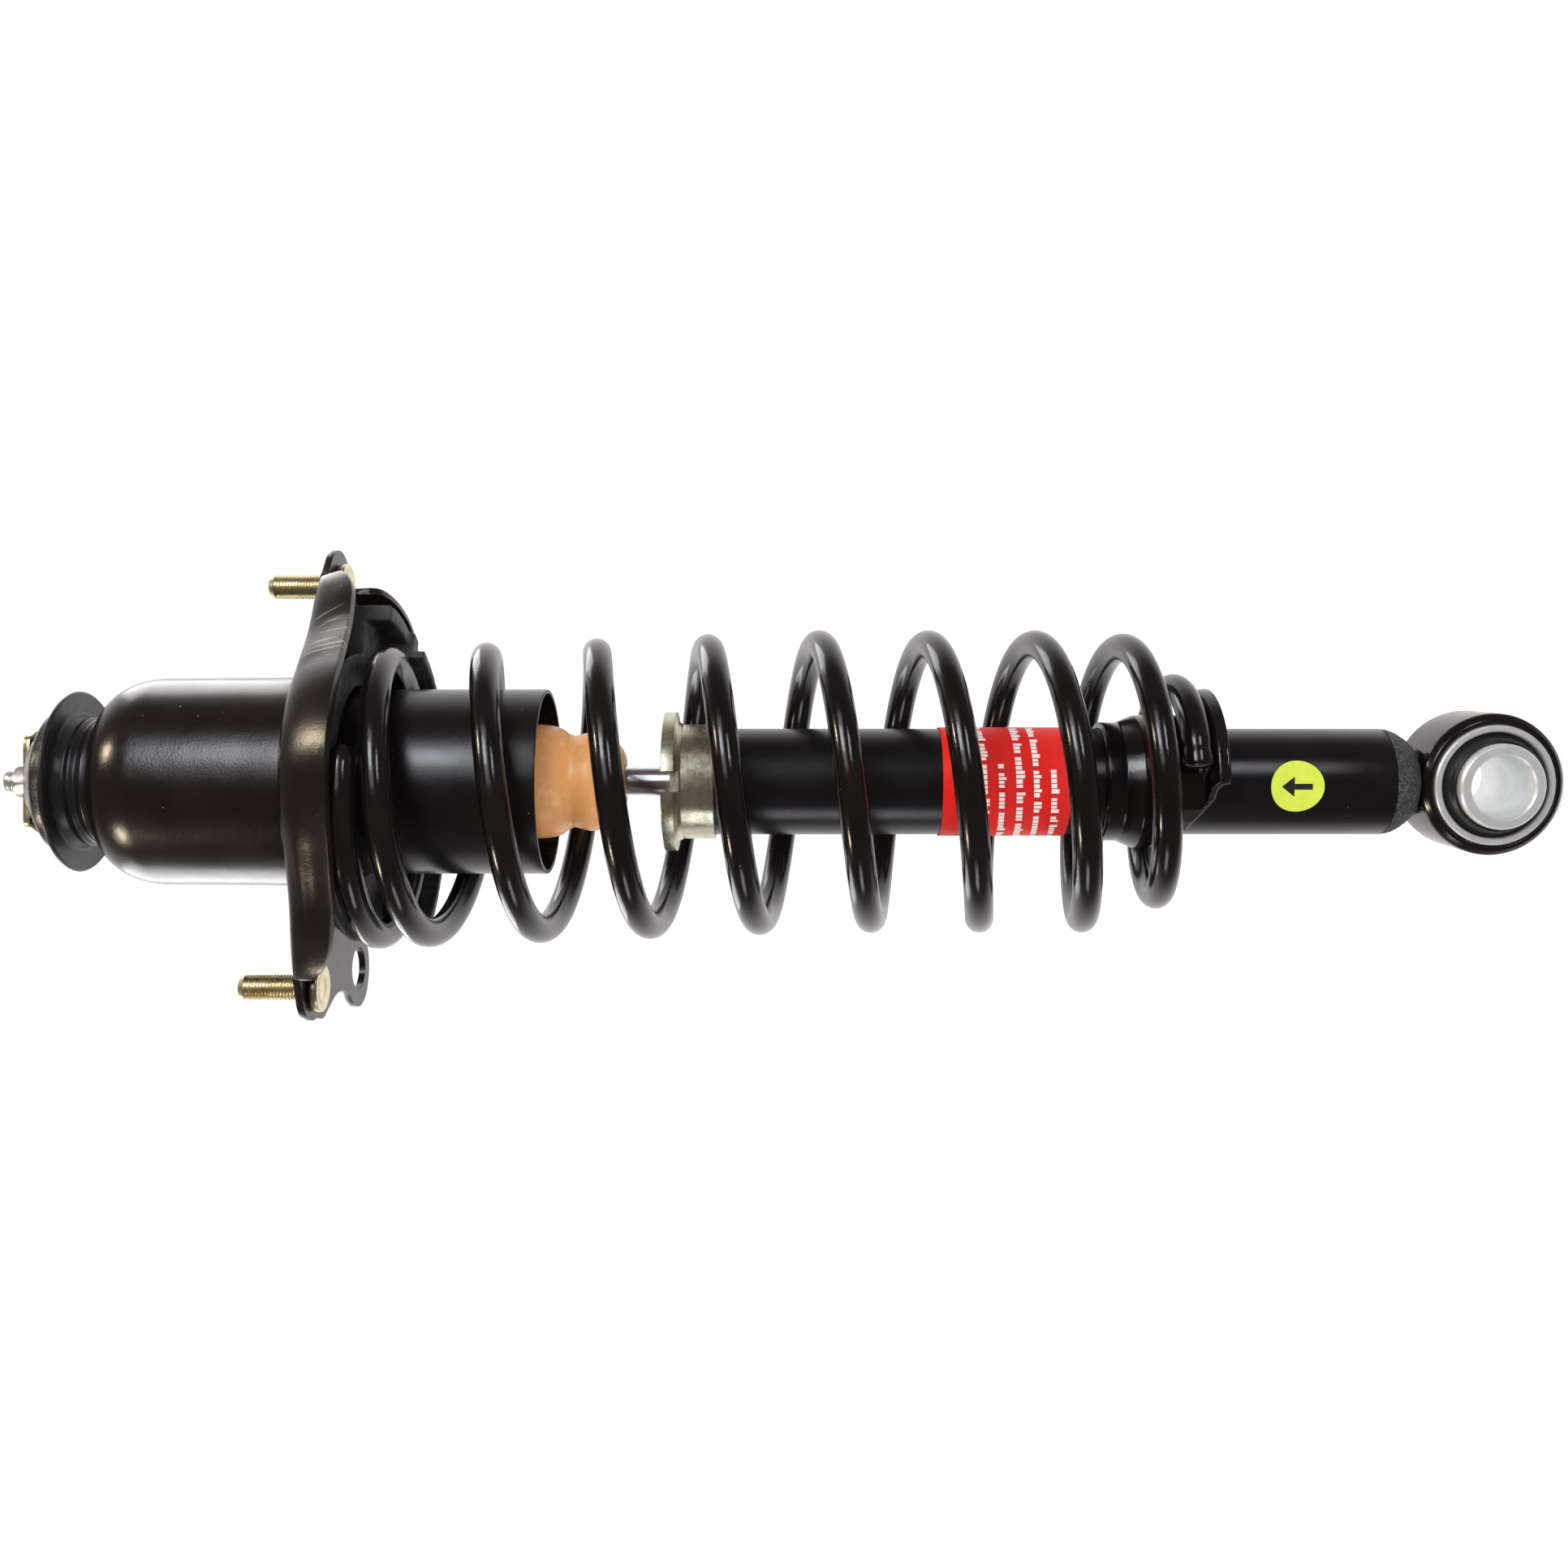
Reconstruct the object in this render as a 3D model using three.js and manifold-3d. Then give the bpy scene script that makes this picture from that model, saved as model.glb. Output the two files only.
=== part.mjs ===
// Rear suspension strut assembly: coil spring over damper, top mount with two
// studs, lower eye with a rubber bush. Millimetres, +Z up.
// Origin: centre of the top mount's mounting plane, on the strut's axis.
// +Z runs along the strut towards the rod's nut, +Y along the lower eye's axis.
import * as THREE from 'three';
import Module from 'manifold-3d';
import { mergeVertices } from 'three/addons/utils/BufferGeometryUtils.js';

const wasm = await Module();
wasm.setup();

// ---------------------------------------------------------------- dimensions
const GAP = 0.35;                 // running gap between touching pieces
const CLOCK = 5.4;                // deg, spring and seat clocking to the eye axis
const FLANGE_CLOCK = 17.9;        // deg, stud line to the X axis
// piston rod and its end fasteners
const ROD_R = 6.2, ROD_THREAD_R = 5, ROD_TIP_Z = 126.4, ROD_SHOULDER_Z = 64;
const NUT_AF = 14, NUT_Z0 = 114.1, NUT_Z1 = 120.9;
const TOP_WASHER_R = 21.5, TOP_WASHER_FLAT = 13.4, TOP_WASHER_Z0 = 110.7, TOP_WASHER_Z1 = 113.7;
const CUP_R = 29.6, CUP_Z0 = 98.9, CUP_Z1 = 110.3;
// rubber bushings
const BUSH_DISK_R = 36.2, BUSH_WAIST_R = 26, BUSH_NECK_R = 19.4;
// housing (deep bell) and dust tube
const BELL_R = 41.4, BELL_FOOT_R = 42.3, BELL_TOP_Z = 82.5, BELL_WALL = 2.5;
const TUBE_COVER_R = 37.1, TUBE_COVER_WALL = 1.7, TUBE_COVER_Z0 = -92.2, TUBE_COVER_Z1 = 40;
// flange
const PLATE_T = 3, STUD_X = 82.7, EAR_A_R = 15.2, EAR_B_R = 12.8, SKIRT_T = 2.6;
const STUD_R = 5, STUD_TIP_Z = 26, STUD_HEAD_R = 9.5, STUD_HEAD_T = 3.4;
const LOCATE_X = -69, LOCATE_Y = 62, LOCATE_RX = 9, LOCATE_RY = 10.3;
// coil spring
const WIRE_R = 5.65, COIL_R = 55.1, COIL_TOP_DX = -6.4;
// bump stop
const FOAM_BORE = 7, FOAM_Z1 = 63.5, FOAM_Z0 = -123;
// damper
const TUBE_R = 21.3, TUBE_WALL = 1.7, TUBE_Z1 = -148, TUBE_Z0 = -427.6;
const EYE_Z = -466.4, EYE_R = 28.2, EYE_BORE_R = 24.1, EYE_HALF = 16;
const OUTER_SLEEVE_R = 23.75, OUTER_SLEEVE_IR = 20.9, OUTER_SLEEVE_HALF = 17;
const INNER_SLEEVE_R = 16.8, INNER_SLEEVE_IR = 12.2, INNER_SLEEVE_HALF = 24;

// ---------------------------------------------------------------- materials
const mat = (color, roughness, metalness) =>
  new THREE.MeshStandardMaterial({ color, roughness, metalness });
const BLACK_PAINT = () => mat(0x0b0a0a, 0.22, 0.1);
const ZINC_GOLD = () => mat(0xcbb673, 0.32, 0.9);
const ZINC = () => mat(0xb9bcb8, 0.34, 0.9);
const CHROME = () => mat(0xd8dade, 0.08, 1.0);
const STEEL = () => mat(0x8f9194, 0.4, 0.9);
const RUBBER = () => mat(0x161416, 0.8, 0.0);
const FOAM = () => mat(0xcf9650, 0.55, 0.0);

// ---------------------------------------------------------------- helpers
const rad = THREE.MathUtils.degToRad;
const root = new THREE.Group();
root.name = 'strut_assembly';

function signedVolume(g) {
  const p = g.getAttribute('position'), ix = g.getIndex();
  let v = 0;
  const a = new THREE.Vector3(), b = new THREE.Vector3(), c = new THREE.Vector3();
  const n = ix ? ix.count : p.count;
  for (let i = 0; i < n; i += 3) {
    const [i0, i1, i2] = ix ? [ix.getX(i), ix.getX(i + 1), ix.getX(i + 2)] : [i, i + 1, i + 2];
    a.fromBufferAttribute(p, i0); b.fromBufferAttribute(p, i1); c.fromBufferAttribute(p, i2);
    v += a.dot(b.cross(c)) / 6;
  }
  return v;
}

// position-only, merged, without collapsed triangles, facing out
function tidy(geometry) {
  let g = geometry.clone();
  for (const k of Object.keys(g.attributes)) if (k !== 'position') g.deleteAttribute(k);
  g = mergeVertices(g, 1e-4);
  const ix = g.getIndex(), keep = [];
  for (let i = 0; i < ix.count; i += 3) {
    const a = ix.getX(i), b = ix.getX(i + 1), c = ix.getX(i + 2);
    if (a !== b && b !== c && a !== c) keep.push(a, b, c);
  }
  g.setIndex(keep);
  if (signedVolume(g) < 0) {
    for (let i = 0; i < keep.length; i += 3) [keep[i + 1], keep[i + 2]] = [keep[i + 2], keep[i + 1]];
    g.setIndex(keep);
  }
  return g;
}

function solid(geometry) {
  const g = tidy(geometry);
  return new wasm.Manifold(new wasm.Mesh({
    numProp: 3,
    vertProperties: new Float32Array(g.getAttribute('position').array),
    triVerts: new Uint32Array(g.getIndex().array),
  }));
}

function fromSolid(m) {
  const out = m.getMesh();
  const g = new THREE.BufferGeometry();
  g.setAttribute('position', new THREE.BufferAttribute(new Float32Array(out.vertProperties), 3));
  g.setIndex(Array.from(out.triVerts));
  return g;
}

// profile: closed list of [r, z]; turned about Z
function turned(profile, segments = 24) {
  const pts = profile.map(([r, z]) => new THREE.Vector2(r, z));
  pts.push(pts[0].clone());
  const g = new THREE.LatheGeometry(pts, segments);
  g.rotateX(Math.PI / 2);
  return tidy(g);
}

function ring(r0, r1, z0, z1, segments = 24) {
  return turned([[r0, z0], [r1, z0], [r1, z1], [r0, z1]], segments);
}

function rod(r, z0, z1, segments = 20) {
  return turned([[0, z0], [r, z0], [r, z1], [0, z1]], segments);
}

function plate(points, z0, z1, holes = []) {
  const s = new THREE.Shape(points.map(([x, y]) => new THREE.Vector2(x, y)));
  for (const h of holes) s.holes.push(new THREE.Path(h.map(([x, y]) => new THREE.Vector2(x, y))));
  const g = new THREE.ExtrudeGeometry(s, { depth: z1 - z0, bevelEnabled: false, steps: 1 });
  g.translate(0, 0, z0);
  return tidy(g);
}

function circle(cx, cy, r, n = 24, ry = r) {
  return Array.from({ length: n }, (_, i) => {
    const t = (2 * Math.PI * i) / n;
    return [cx + r * Math.cos(t), cy + ry * Math.sin(t)];
  });
}

function sector(cx, cy, r0, r1, a0, a1, z0, z1, n = 16) {
  const pts = [];
  for (let i = 0; i <= n; i++) {
    const t = rad(a0 + ((a1 - a0) * i) / n);
    pts.push([cx + r1 * Math.cos(t), cy + r1 * Math.sin(t)]);
  }
  for (let i = n; i >= 0; i--) {
    const t = rad(a0 + ((a1 - a0) * i) / n);
    pts.push([cx + r0 * Math.cos(t), cy + r0 * Math.sin(t)]);
  }
  return plate(pts, z0, z1);
}

// a closed band through rows of equal length: rows[i][j] = [x, y, z], with the
// rows running round the section and the columns along the band
function band(stations) {
  const m = stations[0].length, pos = [], idx = [];
  for (const st of stations) for (const p of st) pos.push(...p);
  for (let i = 0; i + 1 < stations.length; i++) {
    for (let j = 0; j < m; j++) {
      const a = i * m + j, b = i * m + ((j + 1) % m), c = a + m, d = b + m;
      idx.push(a, b, c, b, d, c);
    }
  }
  const last = (stations.length - 1) * m;
  for (let j = 1; j + 1 < m; j++) {
    idx.push(0, j + 1, j);
    idx.push(last, last + j, last + j + 1);
  }
  const g = new THREE.BufferGeometry();
  g.setAttribute('position', new THREE.Float32BufferAttribute(pos, 3));
  g.setIndex(idx);
  return tidy(g);
}

function add(name, geometry, material, parent = root) {
  const mesh = new THREE.Mesh(geometry, material);
  mesh.name = name;
  parent.add(mesh);
  return mesh;
}

// ---------------------------------------------------------------- rod and its fasteners
add('piston_rod', turned([
  [0, -238], [4.6, -238], [5, -237.4], [5, -201], [ROD_R, -200.4], [ROD_R, ROD_SHOULDER_Z - 0.6],
  [ROD_R - 0.6, ROD_SHOULDER_Z], [ROD_THREAD_R, ROD_SHOULDER_Z], [ROD_THREAD_R, ROD_TIP_Z - 1.2],
  [ROD_THREAD_R - 1, ROD_TIP_Z], [0, ROD_TIP_Z],
], 16), CHROME());

{
  const hex = circle(0, 0, NUT_AF / 2 / Math.cos(Math.PI / 6), 6);
  const body = solid(plate(hex, NUT_Z0, NUT_Z1, [circle(0, 0, ROD_THREAD_R + GAP, 24)]));
  const crown = solid(turned([[0, NUT_Z0 - 1], [9.6, NUT_Z0 - 1], [9.6, NUT_Z1 - 1.4], [6.6, NUT_Z1 + 0.2], [0, NUT_Z1 + 0.2]], 32));
  add('rod_nut', fromSolid(body.intersect(crown)), ZINC());
}

{
  // round washer with two flats
  const pts = [];
  const a = Math.acos(TOP_WASHER_FLAT / TOP_WASHER_R);
  for (const side of [1, -1]) {
    for (let i = 0; i <= 8; i++) {
      const t = (side > 0 ? -Math.PI / 2 + a : Math.PI / 2 + a) + ((Math.PI - 2 * a) * i) / 8;
      pts.push([TOP_WASHER_R * Math.cos(t), TOP_WASHER_R * Math.sin(t)]);
    }
  }
  const w = add('top_washer', plate(pts, TOP_WASHER_Z0, TOP_WASHER_Z1, [circle(0, 0, ROD_THREAD_R + GAP, 24)]), ZINC_GOLD());
  w.rotation.z = rad(CLOCK);
}

add('cup_washer', turned([
  [ROD_THREAD_R + GAP, CUP_Z1 - 2.6], [18.5, CUP_Z1 - 2.6], [27, 101.6], [27.6, CUP_Z0], [CUP_R, CUP_Z0],
  [CUP_R - 0.7, 103], [28, 104.2], [19.5, CUP_Z1], [ROD_THREAD_R + GAP, CUP_Z1],
], 28), BLACK_PAINT());

add('bushing_spacer', ring(ROD_THREAD_R + GAP, 8.2, 67.4, CUP_Z1 - 2.6 - GAP, 24), STEEL());

add('lower_washer', turned([
  [ROD_THREAD_R + GAP, 64.35], [24, 64.35], [27.5, 65.6], [27.5, 68], [24, 67], [ROD_THREAD_R + GAP, 67],
], 24), ZINC());

// ---------------------------------------------------------------- rubber bushings of the rod's top end
add('upper_bushing', turned([
  [8.6, 76.5], [BUSH_NECK_R, 76.5], [BUSH_NECK_R, 82.85], [25.6, 82.85], [26.1, 86.2], [25, 88.2],
  [26.1, 90], [25.1, 92.6], [27.2, 96.6], [BUSH_DISK_R - 0.4, 95.2],
  [BUSH_DISK_R, 96.6], [30.6, 98.5], [26.6, 98.6], [26.4, 101.2],
  [18.2, 107.2], [8.6, 107.2],
], 24), RUBBER());

add('lower_bushing', turned([
  [8.6, 68.9], [23.8, 68.9], [27.6, 70.4], [28.6, 74], [27.4, 78], [24.6, 79.6], [20, 79.6], [20, 76.1], [8.6, 76.1],
], 24), RUBBER());

// ---------------------------------------------------------------- bell housing and dust tube
{
  const outer = [], inner = [];
  const cx = 26, cz = 60, b = BELL_TOP_Z - cz, a = BELL_R - cx;
  for (let i = 0; i <= 4; i++) {
    const t = (Math.PI / 2) * (i / 4);
    outer.push([cx + a * Math.sin(t), cz + b * Math.cos(t)]);
    inner.push([cx + (a - BELL_WALL) * Math.sin(t), cz + (b - BELL_WALL) * Math.cos(t)]);
  }
  const profile = [
    [20.1, BELL_TOP_Z - BELL_WALL], [20.1, BELL_TOP_Z],
    ...outer, [BELL_R + 0.3, 20], [BELL_FOOT_R, 4], [BELL_FOOT_R, -PLATE_T],
    [BELL_FOOT_R - BELL_WALL, -PLATE_T], [BELL_FOOT_R - BELL_WALL, 4],
    ...inner.reverse(),
  ];
  add('mount_housing', turned(profile, 30), BLACK_PAINT());
}

add('dust_tube', turned([
  [TUBE_COVER_R - TUBE_COVER_WALL, TUBE_COVER_Z0], [TUBE_COVER_R, TUBE_COVER_Z0],
  [TUBE_COVER_R, TUBE_COVER_Z1 - 2], [38.4, TUBE_COVER_Z1], [36.8, TUBE_COVER_Z1],
  [TUBE_COVER_R - TUBE_COVER_WALL, TUBE_COVER_Z1 - 2],
], 32), BLACK_PAINT());

// ---------------------------------------------------------------- flange, studs
const flange = new THREE.Group();
flange.rotation.z = rad(FLANGE_CLOCK);
root.add(flange);

// front fold line, from the far stud to the near one
const frontFold = [[-84, -16], [-76, -21.5], [-68, -25], [-52, -31], [-35, -41], [-18, -50.5], [0, -54],
  [18, -50.5], [35, -41], [52, -31], [68, -25], [76, -21.5], [84, -16]];
// back edge, from the near stud round to the locating tab
const backFold = [[87, 15], [86.5, 23], [83, 33], [76, 45], [64, 56], [46, 64], [24, 68.5], [0, 70], [-20, 69], [-36, 66]];

function smooth(points, n) {
  const curve = new THREE.CatmullRomCurve3(points.map(([x, y]) => new THREE.Vector3(x, y, 0)), false, 'centripetal');
  return curve.getSpacedPoints(n).map((p) => [p.x, p.y]);
}

// at: places along the fold, 0 to 1; drop and flare: the skirt's depth and lean there
function skirt(fold, at, drop, flare) {
  const curve = new THREE.CatmullRomCurve3(fold.map(([x, y]) => new THREE.Vector3(x, y, 0)), false, 'centripetal');
  const stations = at.map((s) => {
    const p = curve.getPointAt(s), t = curve.getTangentAt(s), nx = t.y, ny = -t.x;
    const d = drop(s), f = flare(s), k = Math.min(1, d / 12);
    // outer face from the plane round a bend and down to the free edge, then back up inside
    const sec = [[-2.2, 0], [0, -0.5], [f * 0.3, -d * 0.16], [f * 0.62, -d * 0.45], [f, -d],
      [f - SKIRT_T, -d + 0.6 * k], [f * 0.62 - SKIRT_T, -d * 0.45 - 0.4 * k], [f * 0.3 - SKIRT_T - 0.2, -d * 0.16 - 1.2 * k], [-2.9, -PLATE_T * k - 0.4]];
    return sec.map(([o, z]) => [p.x + nx * o, p.y + ny * o, z]);
  });
  return band(stations);
}
const rounded = (u, w) => Math.sqrt(Math.max(0, 1 - (1 - Math.min(1, u / w)) ** 2));

{
  const ends = [0, 0.02, 0.05, 0.09, 0.14, 0.22, 0.32, 0.42];
  const both = (s) => rounded(Math.min(s, 1 - s), 0.115);
  const front = skirt(frontFold, [...ends, 0.5, ...ends.map((v) => 1 - v).reverse()],
    (s) => 3.6 + (12 + 6 * Math.sin(Math.PI * s) ** 0.8) * both(s), (s) => 1.5 + (7 + 4 * Math.sin(Math.PI * s)) * both(s));
  const back = skirt(backFold, [0, 0.03, 0.08, 0.15, 0.25, 0.37, 0.5, 0.63, 0.76, 0.87, 0.95, 1],
    (s) => 3.6 + 19.4 * rounded(s, 0.3) * rounded(1 - s, 0.3), (s) => 0.8 + 3.4 * rounded(s, 0.2) * rounded(1 - s, 0.2));
  const fr = smooth(frontFold, 12), bk = smooth(backFold, 9);
  const inset = (line, n, d) => line.map(([x, y], i) => {
    const [xa, ya] = line[Math.max(i - 1, 0)], [xb, yb] = line[Math.min(i + 1, n)];
    const l = Math.hypot(xb - xa, yb - ya);
    return [x - ((yb - ya) / l) * d, y + ((xb - xa) / l) * d];
  });
  const earA = [], earB = [];
  for (let i = 0; i <= 8; i++) {
    const t = rad(-62 + (i * 98) / 8);
    earA.push([STUD_X + EAR_A_R * Math.cos(t), 0.5 + EAR_A_R * Math.sin(t)]);
  }
  // far end: ear, scallop, and the locating tab
  earB.push([-46, 59], [-55, 70], [-62, 76.5], [-70, 78.6], [-79, 76], [-84.6, 68.5], [-85, 59.5], [-81.4, 50], [-80.4, 41], [-83, 31], [-89, 22], [-93.6, 15]);
  for (let i = 0; i <= 6; i++) {
    const t = rad(152 + (i * 90) / 6);
    earB.push([-STUD_X + EAR_B_R * Math.cos(t), (EAR_B_R + 1.6) * Math.sin(t)]);
  }
  const outline = [...inset(fr, 12, 0.6), ...earA, ...inset(bk, 9, 0.6), ...earB];
  let body = solid(plate(outline, -PLATE_T, 0));
  body = body.add(solid(front)).add(solid(back));
  const tools = [
    rod(BELL_FOOT_R + GAP, -40, 10, 32),
    rod(STUD_R + GAP, -40, 10, 20).translate(STUD_X, 0, 0),
    rod(STUD_R + GAP, -40, 10, 20).translate(-STUD_X, 0, 0),
    plate(circle(LOCATE_X, LOCATE_Y, LOCATE_RX, 24, LOCATE_RY), -40, 10),
    // room for the stud heads
    rod(STUD_HEAD_R + 2.2, -40, -PLATE_T, 24).translate(STUD_X, 0, 0),
    rod(STUD_HEAD_R + 2.2, -40, -PLATE_T, 24).translate(-STUD_X, 0, 0),
  ];
  for (const t of tools) body = body.subtract(solid(t));
  add('mount_flange', fromSolid(body), BLACK_PAINT(), flange);
}

for (const [name, sx] of [['stud_a', 1], ['stud_b', -1]]) {
  const g = turned([
    [0, -PLATE_T - GAP - STUD_HEAD_T], [STUD_HEAD_R - 0.6, -PLATE_T - GAP - STUD_HEAD_T],
    [STUD_HEAD_R, -PLATE_T - GAP - STUD_HEAD_T + 0.7], [STUD_HEAD_R, -PLATE_T - GAP],
    [STUD_R, -PLATE_T - GAP], [STUD_R, STUD_TIP_Z - 1.6], [STUD_R - 1.4, STUD_TIP_Z], [0, STUD_TIP_Z],
  ], 16);
  add(name, g, ZINC_GOLD(), flange).position.set(sx * STUD_X, 0, 0);
}

// ---------------------------------------------------------------- parts clocked with the spring
const clocked = new THREE.Group();
clocked.rotation.z = rad(CLOCK);
root.add(clocked);

// helix table: [turned angle, height of the wire's centre, coil radius, centre shift in X]
const HELIX = [
  [-70, -23.6, 55.1], [-90, -23.8, 55.1], [-180, -25.6, 55.1], [-270, -26.6, 55.1], [-360, -28.4, 55.1], [-450, -37.4, 55.1],
  [-540, -46, 55.1], [-630, -56.5, 55.1], [-720, -67.4, 55.1], [-810, -80, 55.1], [-900, -90.4, 55.1],
  [-1080, -111.6, 55.1], [-1260, -134.2, 55.1], [-1440, -155.9, 55.1], [-1620, -178, 55.1],
  [-1800, -200.4, 55.1], [-1980, -222.4, 55.1], [-2160, -244, 55.1], [-2340, -265.7, 55.1],
  [-2520, -286.6, 55.1], [-2700, -306.6, 55.1], [-2790, -315.4, 55], [-2880, -322.6, 54], [-2970, -328.6, 50.2],
  [-3060, -335.8, 45.2], [-3150, -340.2, 40.6], [-3240, -343.4, 37.8], [-3322, -344.2, 36.8],
];

class Helix extends THREE.Curve {
  constructor() {
    super();
    this.arcLengthDivisions = 3000;
    this.table = HELIX;
  }
  getPoint(t, target = new THREE.Vector3()) {
    const T = this.table, n = T.length;
    const a = T[0][0] + (T[n - 1][0] - T[0][0]) * t;
    let i = 0;
    while (i < n - 2 && a < T[i + 1][0]) i++;
    const slope = (k, c) => {
      const k0 = Math.max(k - 1, 0), k1 = Math.min(k + 1, n - 1);
      return (T[k1][c] - T[k0][c]) / (T[k1][0] - T[k0][0]);
    };
    const h = T[i + 1][0] - T[i][0], u = (a - T[i][0]) / h;
    const val = (c) => {
      const u2 = u * u, u3 = u2 * u;
      return (2 * u3 - 3 * u2 + 1) * T[i][c] + (u3 - 2 * u2 + u) * h * slope(i, c)
        + (-2 * u3 + 3 * u2) * T[i + 1][c] + (u3 - u2) * h * slope(i + 1, c);
    };
    const z = val(1), r = val(2);
    const dx = COIL_TOP_DX * Math.max(0, Math.min(1, (200 + z) / 172));
    return target.set(dx + r * Math.cos(rad(a)), r * Math.sin(rad(a)), z);
  }
}

{
  const section = new THREE.Shape(circle(0, 0, WIRE_R * 1.04, 6).map(([x, y]) => new THREE.Vector2(x, y)));
  const steps = Math.round((3252 / 360) * 18);
  const g = new THREE.ExtrudeGeometry(section, { steps, bevelEnabled: false, extrudePath: new Helix() });
  add('coil_spring', tidy(g), BLACK_PAINT(), clocked);
}

{
  // upper spring insulator: a ring over the first coil, with a deep lip round the back
  const c = COIL_TOP_DX;
  let body = solid(turned([[0, -3.35], [47.3, -3.35], [47.6, -5], [58.4, -17.2], [0, -17.2]], 32).translate(c, 0, 0));
  body = body.add(solid(sector(c, 0, 58, 65.6, 20, 150, -17.2, -8, 13)));
  body = body.add(solid(sector(c, 0, 61.5, 65.6, 20, 150, -37, -12, 13)));
  body = body.add(solid(sector(c, 0, 64, 71, 44, 62, -33, -14, 4)));
  body = body.add(solid(sector(c, 0, 56, 78.2, 2, 30, -17.2, -8, 5)));
  body = body.add(solid(sector(c, 0, 71.5, 78.2, 2, 30, -28, -14, 5)));
  body = body.add(solid(sector(c, 0, 61.5, 78.2, 26, 32, -30, -12, 3)));
  body = body.subtract(solid(rod(38.4, -60, 10, 32)));
  add('spring_insulator', fromSolid(body), RUBBER(), clocked);
}

// ---------------------------------------------------------------- bump stop and its cap
add('bump_stop', turned([
  [FOAM_BORE, FOAM_Z0], [11.5, FOAM_Z0 + 0.2], [16.2, -118.5], [19.8, -112], [19.4, -106.5],
  [18.6, -102.4], [22, -96], [22.8, -88], [21, -77], [19.4, -70], [22.4, -60], [22.4, -45], [19.6, -34], [22.4, -23],
  [22.4, -9], [19.6, 2], [22.4, 13], [22.4, 27], [20.2, 37], [24, 46], [24, FOAM_Z1], [FOAM_BORE, FOAM_Z1],
], 20), FOAM());

{
  // plate with an upturned rim and two notches over a cup that grips the tube
  const cap = solid(turned([
    [10.5, -142.6], [10.5, -146], [TUBE_R - 0.4, -147.4], [TUBE_R + 0.35, -148.2], [TUBE_R + 0.35, -159.5], [22.9, -159.5],
    [23, -146.2], [24.4, -144.6], [27.9, -144.2], [27.9, -139.2], [26.3, -139.2], [26, -142.2], [24, -142.6],
  ], 28));
  const notch = solid(new THREE.BoxGeometry(8, 9, 9).translate(0, -27.5, -140.5));
  const notch2 = solid(new THREE.BoxGeometry(8, 9, 9).translate(0, 27.5, -140.5));
  add('bump_cap', fromSolid(cap.subtract(notch).subtract(notch2)), mat(0xa8a584, 0.38, 0.9), clocked);
}

// ---------------------------------------------------------------- damper tube and its inside
add('damper_tube', turned([
  [TUBE_R - TUBE_WALL, TUBE_Z0 + 1.6], [TUBE_R, TUBE_Z0 + 1.6], [TUBE_R, TUBE_Z1 - 1.4], [TUBE_R - 1, TUBE_Z1 - 0.2],
  [16, TUBE_Z1 - 0.2], [16, TUBE_Z1 - 1.8], [TUBE_R - TUBE_WALL, TUBE_Z1 - 2.4],
], 28), BLACK_PAINT());

add('rod_seal', turned([
  [ROD_R + GAP, -157.4], [19.2, -157.4], [19.2, -151], [15.6, -150.4], [9, -149.9], [ROD_R + GAP, -149.9],
], 18), RUBBER());
add('rod_guide', turned([
  [ROD_R + GAP, -172], [12.8, -172], [12.8, -166], [19.2, -166], [19.2, -157.8], [ROD_R + GAP, -157.8],
], 18), STEEL());
add('pressure_tube', ring(15, 16.2, -405, -166.4, 28), STEEL());
add('rebound_stop', turned([
  [ROD_R + GAP, -181], [11, -181], [12.4, -179.6], [12.4, -174], [11, -172.4], [ROD_R + GAP, -172.4],
], 18), RUBBER());
add('rebound_collar', ring(ROD_R + GAP, 9, -186, -181.4, 20), STEEL());
add('piston', turned([
  [5.35, -222], [11, -222], [11.4, -219], [14, -219], [14, -216.6], [13.2, -216.4], [13.2, -206.6], [14, -206.4],
  [14, -204], [5.35, -204],
], 18), STEEL());
add('piston_band', ring(13.5, 14.65, -216.2, -206.8, 28), mat(0x6a4c2c, 0.6, 0));
{
  const hex = circle(0, 0, 8.4, 6);
  add('piston_nut', plate(hex, -232, -222.4, [circle(0, 0, 5.35, 18)]), STEEL());
}
add('base_valve', turned([
  [0, -418], [8, -418], [8, -410], [16.2, -410], [16.2, -405.4], [14.6, -405.4], [14.6, -398], [0, -398],
], 18), STEEL());

// closing cap of the tube, drawn in to the eye's neck
{
  let cap = solid(turned([
    [0, -424], [19.2, -424], [19.2, -426.4], [21.3, -426.6], [21, -428.4], [19.6, -432], [17.4, -435.2], [14.8, -438],
    [12.6, -440.4], [12, -442.4], [12, -447], [0, -447],
  ], 28));
  // foot follows the eye's round outside
  const round = solid(rod(EYE_R + GAP, -30, 30, 32).rotateX(Math.PI / 2).translate(0, 0, EYE_Z));
  add('tube_base', fromSolid(cap.subtract(round)), BLACK_PAINT());
}

// ---------------------------------------------------------------- lower spring seat
add('seat_collar', turned([
  [TUBE_R + GAP, -333], [TUBE_R + GAP, -313], [23.8, -313], [23.9, -320.4], [25, -323], [26.6, -326.4], [26.8, -333],
], 28), BLACK_PAINT(), clocked);

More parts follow.
